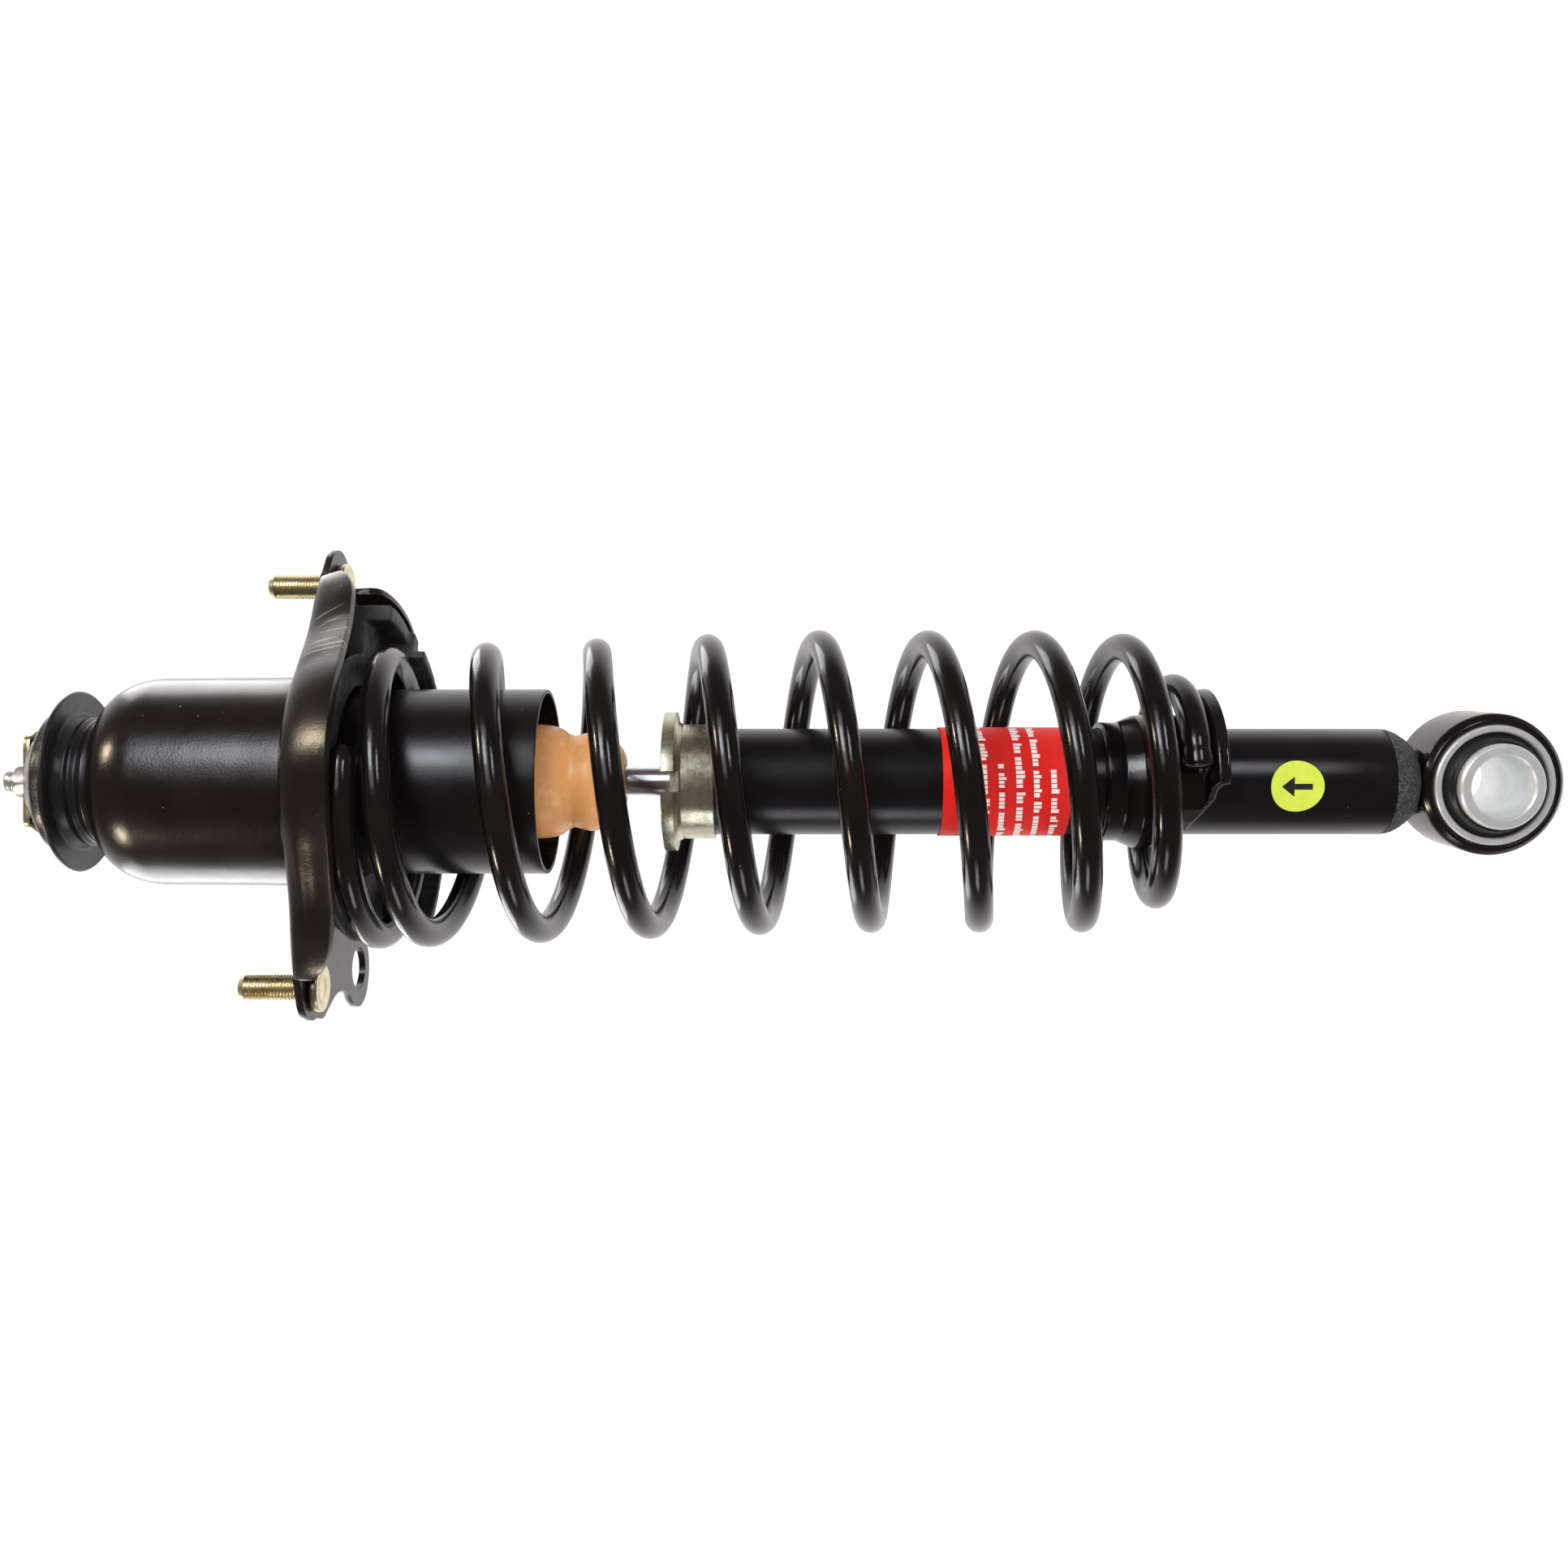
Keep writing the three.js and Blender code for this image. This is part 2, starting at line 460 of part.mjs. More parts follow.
{
  let seat = solid(turned([
    [TUBE_R + GAP, -356.4], [24.2, -356.4], [24.2, -353], [33, -353], [35, -354.4], [35.6, -357], [37.6, -356.6], [37, -352.4],
    [34.6, -350.3], [27.8, -350.3], [26.9, -349.4], [26.7, -333.35], [TUBE_R + GAP, -333.35],
  ], 32));
  // one side is trimmed straight, from the rim to the tube
  const cut = solid(plate([[0.8, -80], [0.8, -38], [-15.8, -18.6], [-23.4, -8], [-24.6, 4], [-60, 12], [-80, 0], [-80, -80]], -400, -340));
  const slope = solid(plate([[0.8, -357.6], [-60, -321], [-60, -400], [0.8, -400]], -12, 80).rotateX(Math.PI / 2));
  seat = seat.subtract(cut).subtract(slope);
  add('lower_spring_seat', fromSolid(seat), BLACK_PAINT(), clocked);
}

// ---------------------------------------------------------------- labels
add('label_band', ring(TUBE_R + 0.3, TUBE_R + 0.65, -299, -249, 28), mat(0xe8221f, 0.4, 0));
{
  // round sticker on the tube's side, wrapped to the tube
  const shell = solid(ring(TUBE_R + 0.3, TUBE_R + 0.65, -400, -374, 36));
  const punch = solid(rod(10.4, 0, 40, 28).rotateX(Math.PI / 2).translate(0, 0, -387));
  add('round_label', fromSolid(shell.intersect(punch)), mat(0xf0f25a, 0.45, 0));
}

// ---------------------------------------------------------------- lower eye and bush
const alongY = (g) => g.rotateX(Math.PI / 2).translate(0, 0, EYE_Z);
add('eye_ring', alongY(turned([
  [EYE_BORE_R, -EYE_HALF + 0.5], [EYE_BORE_R + 0.5, -EYE_HALF], [EYE_R - 2, -EYE_HALF], [EYE_R, -EYE_HALF + 2],
  [EYE_R, EYE_HALF - 2], [EYE_R - 2, EYE_HALF], [EYE_BORE_R + 0.5, EYE_HALF], [EYE_BORE_R, EYE_HALF - 0.5],
], 32)), BLACK_PAINT());
add('bush_outer_sleeve', alongY(ring(OUTER_SLEEVE_IR, OUTER_SLEEVE_R, -OUTER_SLEEVE_HALF, OUTER_SLEEVE_HALF, 32)), ZINC());
add('bush_rubber', alongY(turned([
  [INNER_SLEEVE_R + GAP, -20.5], [OUTER_SLEEVE_IR - 2.2, -18.6], [OUTER_SLEEVE_IR - GAP, -15.5],
  [OUTER_SLEEVE_IR - GAP, 15.5], [OUTER_SLEEVE_IR - 2.2, 18.6], [INNER_SLEEVE_R + GAP, 20.5],
], 32)), RUBBER());
add('bush_inner_sleeve', alongY(turned([
  [INNER_SLEEVE_IR, -INNER_SLEEVE_HALF + 0.8], [INNER_SLEEVE_IR + 0.8, -INNER_SLEEVE_HALF], [INNER_SLEEVE_R - 0.9, -INNER_SLEEVE_HALF],
  [INNER_SLEEVE_R, -INNER_SLEEVE_HALF + 0.9], [INNER_SLEEVE_R, INNER_SLEEVE_HALF - 0.9], [INNER_SLEEVE_R - 0.9, INNER_SLEEVE_HALF],
  [INNER_SLEEVE_IR + 0.8, INNER_SLEEVE_HALF], [INNER_SLEEVE_IR, INNER_SLEEVE_HALF - 0.8],
], 32)), ZINC());

export default root;
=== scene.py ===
import math
import bpy
import bmesh
import numpy as np
from mathutils import Vector, Matrix, noise


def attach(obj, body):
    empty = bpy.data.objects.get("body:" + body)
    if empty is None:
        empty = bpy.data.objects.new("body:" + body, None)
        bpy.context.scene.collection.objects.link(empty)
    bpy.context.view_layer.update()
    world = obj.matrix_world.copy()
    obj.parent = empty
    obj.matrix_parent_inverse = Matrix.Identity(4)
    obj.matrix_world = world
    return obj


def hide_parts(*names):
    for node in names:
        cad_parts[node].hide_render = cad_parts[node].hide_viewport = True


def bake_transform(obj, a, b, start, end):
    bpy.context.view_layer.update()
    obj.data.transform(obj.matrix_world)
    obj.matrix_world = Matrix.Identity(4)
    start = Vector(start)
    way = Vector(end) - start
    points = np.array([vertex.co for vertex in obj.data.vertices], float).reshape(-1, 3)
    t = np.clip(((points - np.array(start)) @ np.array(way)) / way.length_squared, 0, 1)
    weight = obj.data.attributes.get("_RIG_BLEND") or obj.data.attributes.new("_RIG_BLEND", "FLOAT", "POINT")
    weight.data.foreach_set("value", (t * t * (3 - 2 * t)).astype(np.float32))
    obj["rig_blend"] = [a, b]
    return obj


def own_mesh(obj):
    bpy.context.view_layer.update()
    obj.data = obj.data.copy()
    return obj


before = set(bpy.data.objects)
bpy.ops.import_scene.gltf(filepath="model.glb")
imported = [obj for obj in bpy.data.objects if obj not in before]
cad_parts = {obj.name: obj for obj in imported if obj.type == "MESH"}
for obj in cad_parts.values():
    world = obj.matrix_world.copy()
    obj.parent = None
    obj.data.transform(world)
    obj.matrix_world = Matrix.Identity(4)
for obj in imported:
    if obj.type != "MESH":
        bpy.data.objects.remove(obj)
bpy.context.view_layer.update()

MM = 0.001
CLOCK, FLANGE_CLOCK = math.radians(5.4), math.radians(17.9)
EYE_Z = -466.4


# ------------------------------------------------------------------ mesh helpers
def close_mesh(me, sharp):
    me.polygons.foreach_set("use_smooth", [True] * len(me.polygons))
    me.set_sharp_from_angle(angle=math.radians(sharp))
    me.update()


def build(name, verts, faces, mats, sharp=34.0, turn=0.0, merge=2e-6, recalc=True):
    """verts in millimetres; turn is a rotation about Z in radians"""
    me = bpy.data.meshes.new(name)
    v = np.asarray(verts, float).reshape(-1, 3) * MM
    if turn:
        c, s = math.cos(turn), math.sin(turn)
        v = np.column_stack([v[:, 0] * c - v[:, 1] * s, v[:, 0] * s + v[:, 1] * c, v[:, 2]])
    me.from_pydata([tuple(p) for p in v], [], [tuple(int(i) for i in f) for f in faces])
    bm = bmesh.new()
    bm.from_mesh(me)
    bmesh.ops.remove_doubles(bm, verts=bm.verts, dist=merge)
    bmesh.ops.dissolve_degenerate(bm, edges=bm.edges, dist=1e-8)
    if recalc:
        bmesh.ops.recalc_face_normals(bm, faces=bm.faces)
    bm.to_mesh(me)
    bm.free()
    close_mesh(me, sharp)
    ob = bpy.data.objects.new(name, me)
    bpy.context.scene.collection.objects.link(ob)
    for m in mats if isinstance(mats, (list, tuple)) else [mats]:
        me.materials.append(m)
    return ob


def fillet(profile, default=0.0, n=4):
    """profile: closed list of (r, z) or (r, z, radius); corners are rounded"""
    out, m = [], len(profile)
    for i, p in enumerate(profile):
        rad = p[2] if len(p) > 2 else default
        P = np.array(p[:2], float)
        A, B = np.array(profile[i - 1][:2], float), np.array(profile[(i + 1) % m][:2], float)
        la, lb = np.linalg.norm(A - P), np.linalg.norm(B - P)
        if rad <= 0 or la < 1e-6 or lb < 1e-6:
            out.append(tuple(P))
            continue
        ua, ub = (A - P) / la, (B - P) / lb
        ang = math.acos(max(-1, min(1, float(ua @ ub))))
        if ang > math.radians(176):
            out.append(tuple(P))
            continue
        t = min(rad / max(math.tan(ang / 2), 1e-3), 0.48 * la, 0.48 * lb)
        S, E = P + ua * t, P + ub * t
        for k in range(n + 1):
            u = k / n
            out.append(tuple((1 - u) ** 2 * S + 2 * u * (1 - u) * P + u * u * E))
    return out


def lathe(name, profile, mats, seg=128, axis="Z", default=0.0, n=4, sharp=34.0, turn=0.0, centre=(0, 0), warp=None):
    prof = fillet(profile, default, n)
    verts, faces, m = [], [], len(prof)
    for j in range(seg):
        t = 2 * math.pi * j / seg
        c, s = math.cos(t), math.sin(t)
        for r, h in prof:
            if warp:
                r, h = warp(r, h, t)
            verts.append((centre[0] + r * c, centre[1] + r * s, h) if axis == "Z" else (r * c, h, EYE_Z + r * s))
    for j in range(seg):
        k = (j + 1) % seg
        for i in range(m):
            a = (i + 1) % m
            faces.append((j * m + i, k * m + i, k * m + a, j * m + a))
    return build(name, verts, faces, mats, sharp, turn)


def threaded(name, rows, mats, pitch, depth, seg=48, sharp=50.0, at=(0, 0), turn=0.0):
    """rows: (z, r, thread share); first and last rows close on the axis"""
    verts, faces = [], []
    for z, r, share in rows:
        for j in range(seg):
            t = j / seg
            ph = (z / pitch) % 1.0
            tri = 1 - abs(2 * ph - 1)
            cut = depth * share * max(0.0, min(1.0, (tri - 0.12) / 0.76))
            rr = max(r - cut, 0)
            verts.append((at[0] + rr * math.cos(2 * math.pi * t), at[1] + rr * math.sin(2 * math.pi * t), z))
    for i in range(len(rows) - 1):
        for j in range(seg):
            k = (j + 1) % seg
            faces.append((i * seg + j, i * seg + k, (i + 1) * seg + k, (i + 1) * seg + j))
    return build(name, verts, faces, mats, sharp, turn)


def thread_rows(z0, z1, r, pitch, per=10, run=1.2):
    n = int(round((z1 - z0) / pitch * per))
    rows = []
    for i in range(n + 1):
        z = z0 + (z1 - z0) * i / n
        rows.append((z, r, max(0.0, min(1.0, (z - z0) / run, (z1 - z) / run + 0.35))))
    return rows


def prism(name, points, z0, z1, mats, turn=0.0, along="Z", sharp=34.0):
    n = len(points)
    if along == "Z":
        verts = [(x, y, z0) for x, y in points] + [(x, y, z1) for x, y in points]
    else:  # points are (x, z), along Y
        verts = [(x, z0, z) for x, z in points] + [(x, z1, z) for x, z in points]
    faces = [tuple(range(n))[::-1], tuple(range(n, 2 * n))]
    faces += [(i, (i + 1) % n, n + (i + 1) % n, n + i) for i in range(n)]
    return build(name, verts, faces, mats, sharp, turn)


def sector(cx, cy, r0, r1, a0, a1, z0, z1, n=24):
    pts = []
    for i in range(n + 1):
        t = math.radians(a0 + (a1 - a0) * i / n)
        pts.append((cx + r1 * math.cos(t), cy + r1 * math.sin(t)))
    for i in range(n, -1, -1):
        t = math.radians(a0 + (a1 - a0) * i / n)
        pts.append((cx + r0 * math.cos(t), cy + r0 * math.sin(t)))
    return pts, z0, z1


def bake(ob, sharp=34.0):
    """applies the modifiers"""
    dg = bpy.context.evaluated_depsgraph_get()
    dg.update()
    me = bpy.data.meshes.new_from_object(ob.evaluated_get(dg))
    ob.modifiers.clear()
    old = ob.data
    ob.data = me
    me.name = old.name + "_m"
    close_mesh(me, sharp)
    return ob


def cut(ob, *tools, solver="EXACT"):
    for t in tools:
        m = ob.modifiers.new("cut", "BOOLEAN")
        m.operation, m.solver, m.object = "DIFFERENCE", solver, t
    bake(ob)
    for t in tools:
        bpy.data.objects.remove(t, do_unlink=True)
    return ob


def bevel(ob, width, segments=3, angle=35, sharp=34.0):
    m = ob.modifiers.new("bevel", "BEVEL")
    m.width, m.segments, m.limit_method, m.angle_limit = width * MM, segments, "ANGLE", math.radians(angle)
    m.harden_normals = False
    return bake(ob, sharp)


def rubberise(ob, voxel, smooth, factor=0.5, sharp=60.0):
    m = ob.modifiers.new("voxels", "REMESH")
    m.mode, m.voxel_size, m.use_smooth_shade = "VOXEL", voxel * MM, True
    s = ob.modifiers.new("smooth", "SMOOTH")
    s.factor, s.iterations = factor, smooth
    return bake(ob, sharp)


def displaced(ob, fn):
    """moves each vertex along its normal by fn(co_mm, normal) millimetres"""
    me = ob.data
    n = len(me.vertices)
    co, no = np.empty(n * 3), np.empty(n * 3)
    me.vertices.foreach_get("co", co)
    me.vertex_normals.foreach_get("vector", no)
    co, no = co.reshape(-1, 3), no.reshape(-1, 3)
    d = np.array([fn(Vector(c) / MM, Vector(k)) for c, k in zip(co, no)])
    co += no * d[:, None] * MM
    me.vertices.foreach_set("co", co.ravel())
    me.update()
    return ob


def join(name, obs):
    verts, faces, mats = [], [], []
    base = 0
    for o in obs:
        verts += [tuple(v.co / MM) for v in o.data.vertices]
        faces += [tuple(i + base for i in p.vertices) for p in o.data.polygons]
        base += len(o.data.vertices)
        for m in o.data.materials:
            if m not in mats:
                mats.append(m)
        bpy.data.objects.remove(o, do_unlink=True)
    return build(name, verts, faces, mats, merge=1e-9)


def spline(P, per=16, closed=False):
    P = np.array(P, float)
    ext = np.vstack([P[-1:], P, P[:2]]) if closed else np.vstack([2 * P[:1] - P[1:2], P, 2 * P[-1:] - P[-2:-1]])
    out = []
    for i in range(len(ext) - 3):
        p = ext[i:i + 4]
        t = [0.0]
        for k in range(3):
            t.append(t[-1] + max(np.linalg.norm(p[k + 1] - p[k]), 1e-6) ** 0.5)
        for k in range(per):
            u = t[1] + (t[2] - t[1]) * k / per
            a1 = (t[1] - u) / (t[1] - t[0]) * p[0] + (u - t[0]) / (t[1] - t[0]) * p[1]
            a2 = (t[2] - u) / (t[2] - t[1]) * p[1] + (u - t[1]) / (t[2] - t[1]) * p[2]
            a3 = (t[3] - u) / (t[3] - t[2]) * p[2] + (u - t[2]) / (t[3] - t[2]) * p[3]
            b1 = (t[2] - u) / (t[2] - t[0]) * a1 + (u - t[0]) / (t[2] - t[0]) * a2
            b2 = (t[3] - u) / (t[3] - t[1]) * a2 + (u - t[1]) / (t[3] - t[1]) * a3
            out.append((t[2] - u) / (t[2] - t[1]) * b1 + (u - t[1]) / (t[2] - t[1]) * b2)
    if not closed:
        out.append(P[-1])
    return np.array(out)


def resample(Q, n, closed=False):
    if closed:
        Q = np.vstack([Q, Q[:1]])
    s = np.concatenate([[0], np.cumsum(np.linalg.norm(np.diff(Q, axis=0), axis=1))])
    at = np.linspace(0, s[-1], n + 1 if closed else n)
    if closed:
        at = at[:-1]
    return np.column_stack([np.interp(at, s, Q[:, k]) for k in range(Q.shape[1])])


# ------------------------------------------------------------------ material helpers
class Mat:
    def __init__(self, name, **sockets):
        self.m = bpy.data.materials.new(name)
        self.m.use_nodes = True
        self.t = self.m.node_tree
        self.t.nodes.clear()
        self.out = self.t.nodes.new("ShaderNodeOutputMaterial")
        self.b = self.t.nodes.new("ShaderNodeBsdfPrincipled")
        self.t.links.new(self.b.outputs[0], self.out.inputs[0])
        for k, v in sockets.items():
            self.b.inputs[k.replace("_", " ")].default_value = v
        self.tc = self.t.nodes.new("ShaderNodeTexCoord")

    def link(self, a, b):
        self.t.links.new(a, b)

    def coords(self, scale=(1, 1, 1), rot=(0, 0, 0), loc=(0, 0, 0)):
        n = self.t.nodes.new("ShaderNodeMapping")
        n.inputs["Scale"].default_value, n.inputs["Rotation"].default_value = scale, rot
        n.inputs["Location"].default_value = loc
        self.link(self.tc.outputs["Object"], n.inputs["Vector"])
        return n.outputs[0]

    def noise(self, scale, detail=2.0, rough=0.5, vec=None, distort=0.0):
        n = self.t.nodes.new("ShaderNodeTexNoise")
        n.inputs["Scale"].default_value, n.inputs["Detail"].default_value = scale, detail
        n.inputs["Roughness"].default_value, n.inputs["Distortion"].default_value = rough, distort
        self.link(vec or self.tc.outputs["Object"], n.inputs["Vector"])
        return n.outputs["Fac"]

    def voronoi(self, scale, feature="F1", vec=None, out="Distance"):
        n = self.t.nodes.new("ShaderNodeTexVoronoi")
        n.feature = feature
        n.inputs["Scale"].default_value = scale
        self.link(vec or self.tc.outputs["Object"], n.inputs["Vector"])
        return n.outputs[out]

    def map(self, v, a, b, c, d):
        n = self.t.nodes.new("ShaderNodeMapRange")
        self.link(v, n.inputs["Value"])
        for k, x in zip(("From Min", "From Max", "To Min", "To Max"), (a, b, c, d)):
            n.inputs[k].default_value = x
        return n.outputs[0]

    def math(self, op, a, b):
        n = self.t.nodes.new("ShaderNodeMath")
        n.operation = op
        for i, v in enumerate((a, b)):
            if isinstance(v, (int, float)):
                n.inputs[i].default_value = v
            else:
                self.link(v, n.inputs[i])
        return n.outputs[0]

    def mix(self, fac, a, b):
        n = self.t.nodes.new("ShaderNodeMix")
        n.data_type = "RGBA"
        self.link(fac, n.inputs[0])
        for i, v in ((6, a), (7, b)):
            if isinstance(v, tuple):
                n.inputs[i].default_value = (*v, 1)
            else:
                self.link(v, n.inputs[i])
        return n.outputs[2]

    def bump(self, height, distance, strength=1.0):
        n = self.t.nodes.new("ShaderNodeBump")
        n.inputs["Distance"].default_value, n.inputs["Strength"].default_value = distance, strength
        self.link(height, n.inputs["Height"])
        prev = self.b.inputs["Normal"]
        if prev.is_linked:
            self.link(prev.links[0].from_socket, n.inputs["Normal"])
        self.link(n.outputs[0], self.b.inputs["Normal"])

    def spot(self, at, radius, soft):
        """1 inside a ball about a point in metres, 0 outside"""
        n = self.t.nodes.new("ShaderNodeVectorMath")
        n.operation = "DISTANCE"
        self.link(self.tc.outputs["Object"], n.inputs[0])
        n.inputs[1].default_value = at
        return self.map(n.outputs["Value"], radius + soft, radius - soft, 0, 1)

    def attribute(self, name):
        n = self.t.nodes.new("ShaderNodeAttribute")
        n.attribute_name = name
        return n.outputs["Fac"]

    def base(self, c):
        self.link(c, self.b.inputs["Base Color"])

    def rough(self, r):
        self.link(r, self.b.inputs["Roughness"])


def paint(name, dark, light, r0, r1, peel=1100.0, peel_h=0.00006, wave_h=0.00018, specks=0.5, scratch=None, grit=None):
    """gloss or satin enamel over pressed steel: orange peel, slow waviness, dust specks, rubbed patches"""
    m = Mat(name)
    col = m.mix(m.map(m.noise(45, 3), 0.35, 0.65, 0, 1), dark, light)
    ro = m.map(m.noise(70, 3, 0.6), 0.3, 0.7, r0, r1)
    if specks:
        d = m.map(m.voronoi(170), 0.035, 0.055, 1, 0)
        keep = m.map(m.noise(120, 0), 0.54, 0.6, 0, specks)
        s = m.math("MULTIPLY", d, keep)
        col = m.mix(s, col, (0.30, 0.28, 0.25))
        ro = m.math("ADD", ro, m.math("MULTIPLY", s, 0.3))
    if scratch:
        for at, radius, rot, dens in scratch:
            v = m.coords(scale=(1, 1, 1), rot=rot)
            n = m.t.nodes.new("ShaderNodeMapping")
            n.inputs["Scale"].default_value = (26, 1500, 26)
            m.link(v, n.inputs["Vector"])
            lines = m.map(m.noise(1.0, 1, 0.4, n.outputs[0]), dens, dens + 0.03, 0, 1)
            s = m.math("MULTIPLY", lines, m.spot(at, radius, radius * 0.35))
            col = m.mix(s, col, (0.34, 0.31, 0.28))
            ro = m.math("ADD", ro, m.math("MULTIPLY", s, 0.25))
    m.base(col)
    m.rough(ro)
    if grit:
        g = m.noise(grit[0], 3, 0.65)
        m.bump(g, grit[1])
        if len(grit) > 2:
            col = m.mix(m.map(g, 0.46, 0.62, 0, 1), col, grit[2])
            m.base(col)
    m.bump(m.noise(peel, 2, 0.5), peel_h)
    m.bump(m.noise(65, 2, 0.5), wave_h)
    return m.m


def plated(name, a, b, r0, r1, metallic=1.0, stain=None, brush=None, grain=0.00002):
    m = Mat(name, Metallic=metallic)
    col = m.mix(m.map(m.noise(95, 4, 0.6, distort=0.6), 0.35, 0.65, 0, 1), a, b)
    if stain:
        col = m.mix(m.map(m.noise(260, 3, 0.6, distort=1.0), 0.5, 0.72, 0, 0.8), col, stain)
    m.base(col)
    m.rough(m.map(m.noise(420, 3, 0.6), 0.3, 0.7, r0, r1))
    if brush:
        m.bump(m.noise(1.0, 2, 0.6, m.coords(scale=brush[0])), brush[1])
    m.bump(m.noise(1400, 3, 0.6), grain)
    return m.m


# ------------------------------------------------------------------ materials
GLOSS = paint("black_enamel_gloss", (0.0036, 0.0026, 0.003), (0.006, 0.0044, 0.0046), 0.13, 0.2, 900, 0.00003, 0.00014, 0.35)
BELL = paint("black_enamel_housing", (0.005, 0.0034, 0.0032), (0.008, 0.0056, 0.0052), 0.2, 0.27, 1250, 0.00005, 0.00016, 0.7)
SKIRT = paint("black_enamel_flange", (0.0055, 0.0038, 0.0035), (0.0095, 0.0066, 0.0058), 0.2, 0.28, 1150, 0.00005, 0.0002, 0.8,
              scratch=[((0.060, -0.032, -0.012), 0.012, (0.4, 0.15, 0.5), 0.64), ((0.068, -0.02, -0.006), 0.009, (0.2, 0.5, 0.9), 0.66),
                       ((-0.02, -0.062, -0.012), 0.003, (1.2, 0.1, 0.2), 0.70)])
TUBE = paint("black_enamel_satin", (0.0032, 0.0026, 0.003), (0.0046, 0.0038, 0.0042), 0.26, 0.33, 1500, 0.00002, 0.00003, 0.25)
COVER = paint("black_enamel_cover", (0.0038, 0.003, 0.0034), (0.006, 0.0048, 0.005), 0.22, 0.3, 1300, 0.00003, 0.00006, 0.4)
ROUGH = paint("black_enamel_rough", (0.012, 0.0115, 0.012), (0.03, 0.028, 0.028), 0.42, 0.6, 1700, 0.0001, 0.0002, 0.2, grit=(1100, 0.0006, (0.085, 0.082, 0.085)))
WELD = paint("black_enamel_weld", (0.008, 0.007, 0.007), (0.014, 0.012, 0.011), 0.16, 0.26, 1500, 0.00008, 0.0005, 0.4, grit=(420, 0.0006))


def cup_paint():
    m = Mat("black_enamel_washer")
    w = m.attribute("wear")
    chips = m.math("MULTIPLY", w, m.map(m.noise(900, 3, 0.6), 0.38, 0.55, 0.15, 1))
    col = m.mix(m.map(m.noise(60, 2), 0.35, 0.65, 0, 1), (0.007, 0.006, 0.006), (0.012, 0.01, 0.009))
    m.base(m.mix(chips, col, (0.50, 0.45, 0.38)))
    m.rough(m.map(m.noise(300, 2), 0.3, 0.7, 0.2, 0.3))
    m.link(m.math("MULTIPLY", chips, 0.7), m.b.inputs["Metallic"])
    m.bump(m.noise(1200, 2), 0.00005)
    return m.m


CUP = cup_paint()
GOLD = plated("yellow_zinc", (0.80, 0.73, 0.50), (0.74, 0.66, 0.41), 0.25, 0.36, stain=(0.72, 0.58, 0.46), grain=0.00002)
ZINC = plated("clear_zinc", (0.74, 0.75, 0.76), (0.66, 0.67, 0.68), 0.26, 0.36, metallic=0.9, grain=0.00001)
SLEEVE = plated("sleeve_zinc", (0.84, 0.86, 0.87), (0.74, 0.76, 0.76), 0.32, 0.46, metallic=0.66, grain=0.00004)
OLIVE = plated("olive_zinc", (0.66, 0.64, 0.49), (0.50, 0.48, 0.35), 0.22, 0.36, metallic=0.96, stain=(0.56, 0.48, 0.34), brush=((30, 30, 900), 0.00003), grain=0.00004)
STEEL = plated("bare_steel", (0.45, 0.46, 0.47), (0.36, 0.36, 0.37), 0.3, 0.45, brush=((60, 60, 2200), 0.00002))
CHROME = plated("hard_chrome", (0.86, 0.87, 0.89), (0.80, 0.81, 0.83), 0.16, 0.24, brush=((40, 40, 3000), 0.000004), grain=0.000003)
BRONZE = plated("bronze_band", (0.32, 0.20, 0.10), (0.24, 0.14, 0.07), 0.4, 0.55, metallic=0.4)


def rubber(name, a, b, r0, r1, grain, dusty=0.0, lump=0.0002):
    m = Mat(name)
    col = m.mix(m.map(m.noise(55, 4, 0.6), 0.35, 0.68, 0, 1), a, b)
    if dusty:
        d = m.math("MULTIPLY", m.map(m.noise(130, 4, 0.65, distort=0.8), 0.5, 0.72, 0, 1), dusty)
        col = m.mix(d, col, (0.16, 0.155, 0.15))
    m.base(col)
    m.rough(m.map(m.noise(200, 3, 0.6), 0.3, 0.7, r0, r1))
    m.bump(m.noise(1300, 3, 0.6), grain)
    m.bump(m.noise(120, 2), lump)
    return m.m


RUBBER = rubber("moulded_rubber", (0.020, 0.019, 0.020), (0.040, 0.038, 0.039), 0.5, 0.7, 0.00008, 0.35, 0.0003)
BUSHING = rubber("bushing_rubber", (0.007, 0.0065, 0.0075), (0.012, 0.011, 0.012), 0.26, 0.36, 0.00002, 0.05, 0.00008)
SEAL = rubber("seal_rubber", (0.010, 0.0095, 0.010), (0.018, 0.017, 0.017), 0.38, 0.5, 0.00004, 0.12, 0.0001)


def foam():
    m = Mat("cellular_urethane", Subsurface_Weight=0.25, Subsurface_Scale=0.004, Coat_Weight=0.2, Coat_Roughness=0.3)
    m.b.inputs["Subsurface Radius"].default_value = (1.0, 0.45, 0.18)
    col = m.mix(m.map(m.noise(30, 3, 0.6), 0.35, 0.65, 0, 1), (0.76, 0.36, 0.125), (0.67, 0.295, 0.09))
    pores = m.map(m.voronoi(900), 0.1, 0.28, 1, 0)
    col = m.mix(m.math("MULTIPLY", pores, 0.25), col, (0.48, 0.20, 0.06))
    m.base(m.mix(m.map(m.noise(160, 4, 0.6), 0.55, 0.75, 0, 0.6), col, (0.86, 0.54, 0.26)))
    m.rough(m.map(m.noise(260, 3), 0.3, 0.7, 0.34, 0.5))
    m.bump(pores, 0.00006, 0.6)
    m.bump(m.noise(500, 3), 0.0001)
    return m.m


def printed(name, a, b, r0=0.42, r1=0.52):
    m = Mat(name, Specular_IOR_Level=0.22)
    m.base(m.mix(m.map(m.noise(240, 4, 0.6), 0.35, 0.7, 0, 1), a, b))
    m.rough(m.map(m.noise(150, 3), 0.3, 0.7, r0, r1))
    m.bump(m.noise(90, 2), 0.00004)
    m.bump(m.noise(2400, 1), 0.000006)
    return m.m


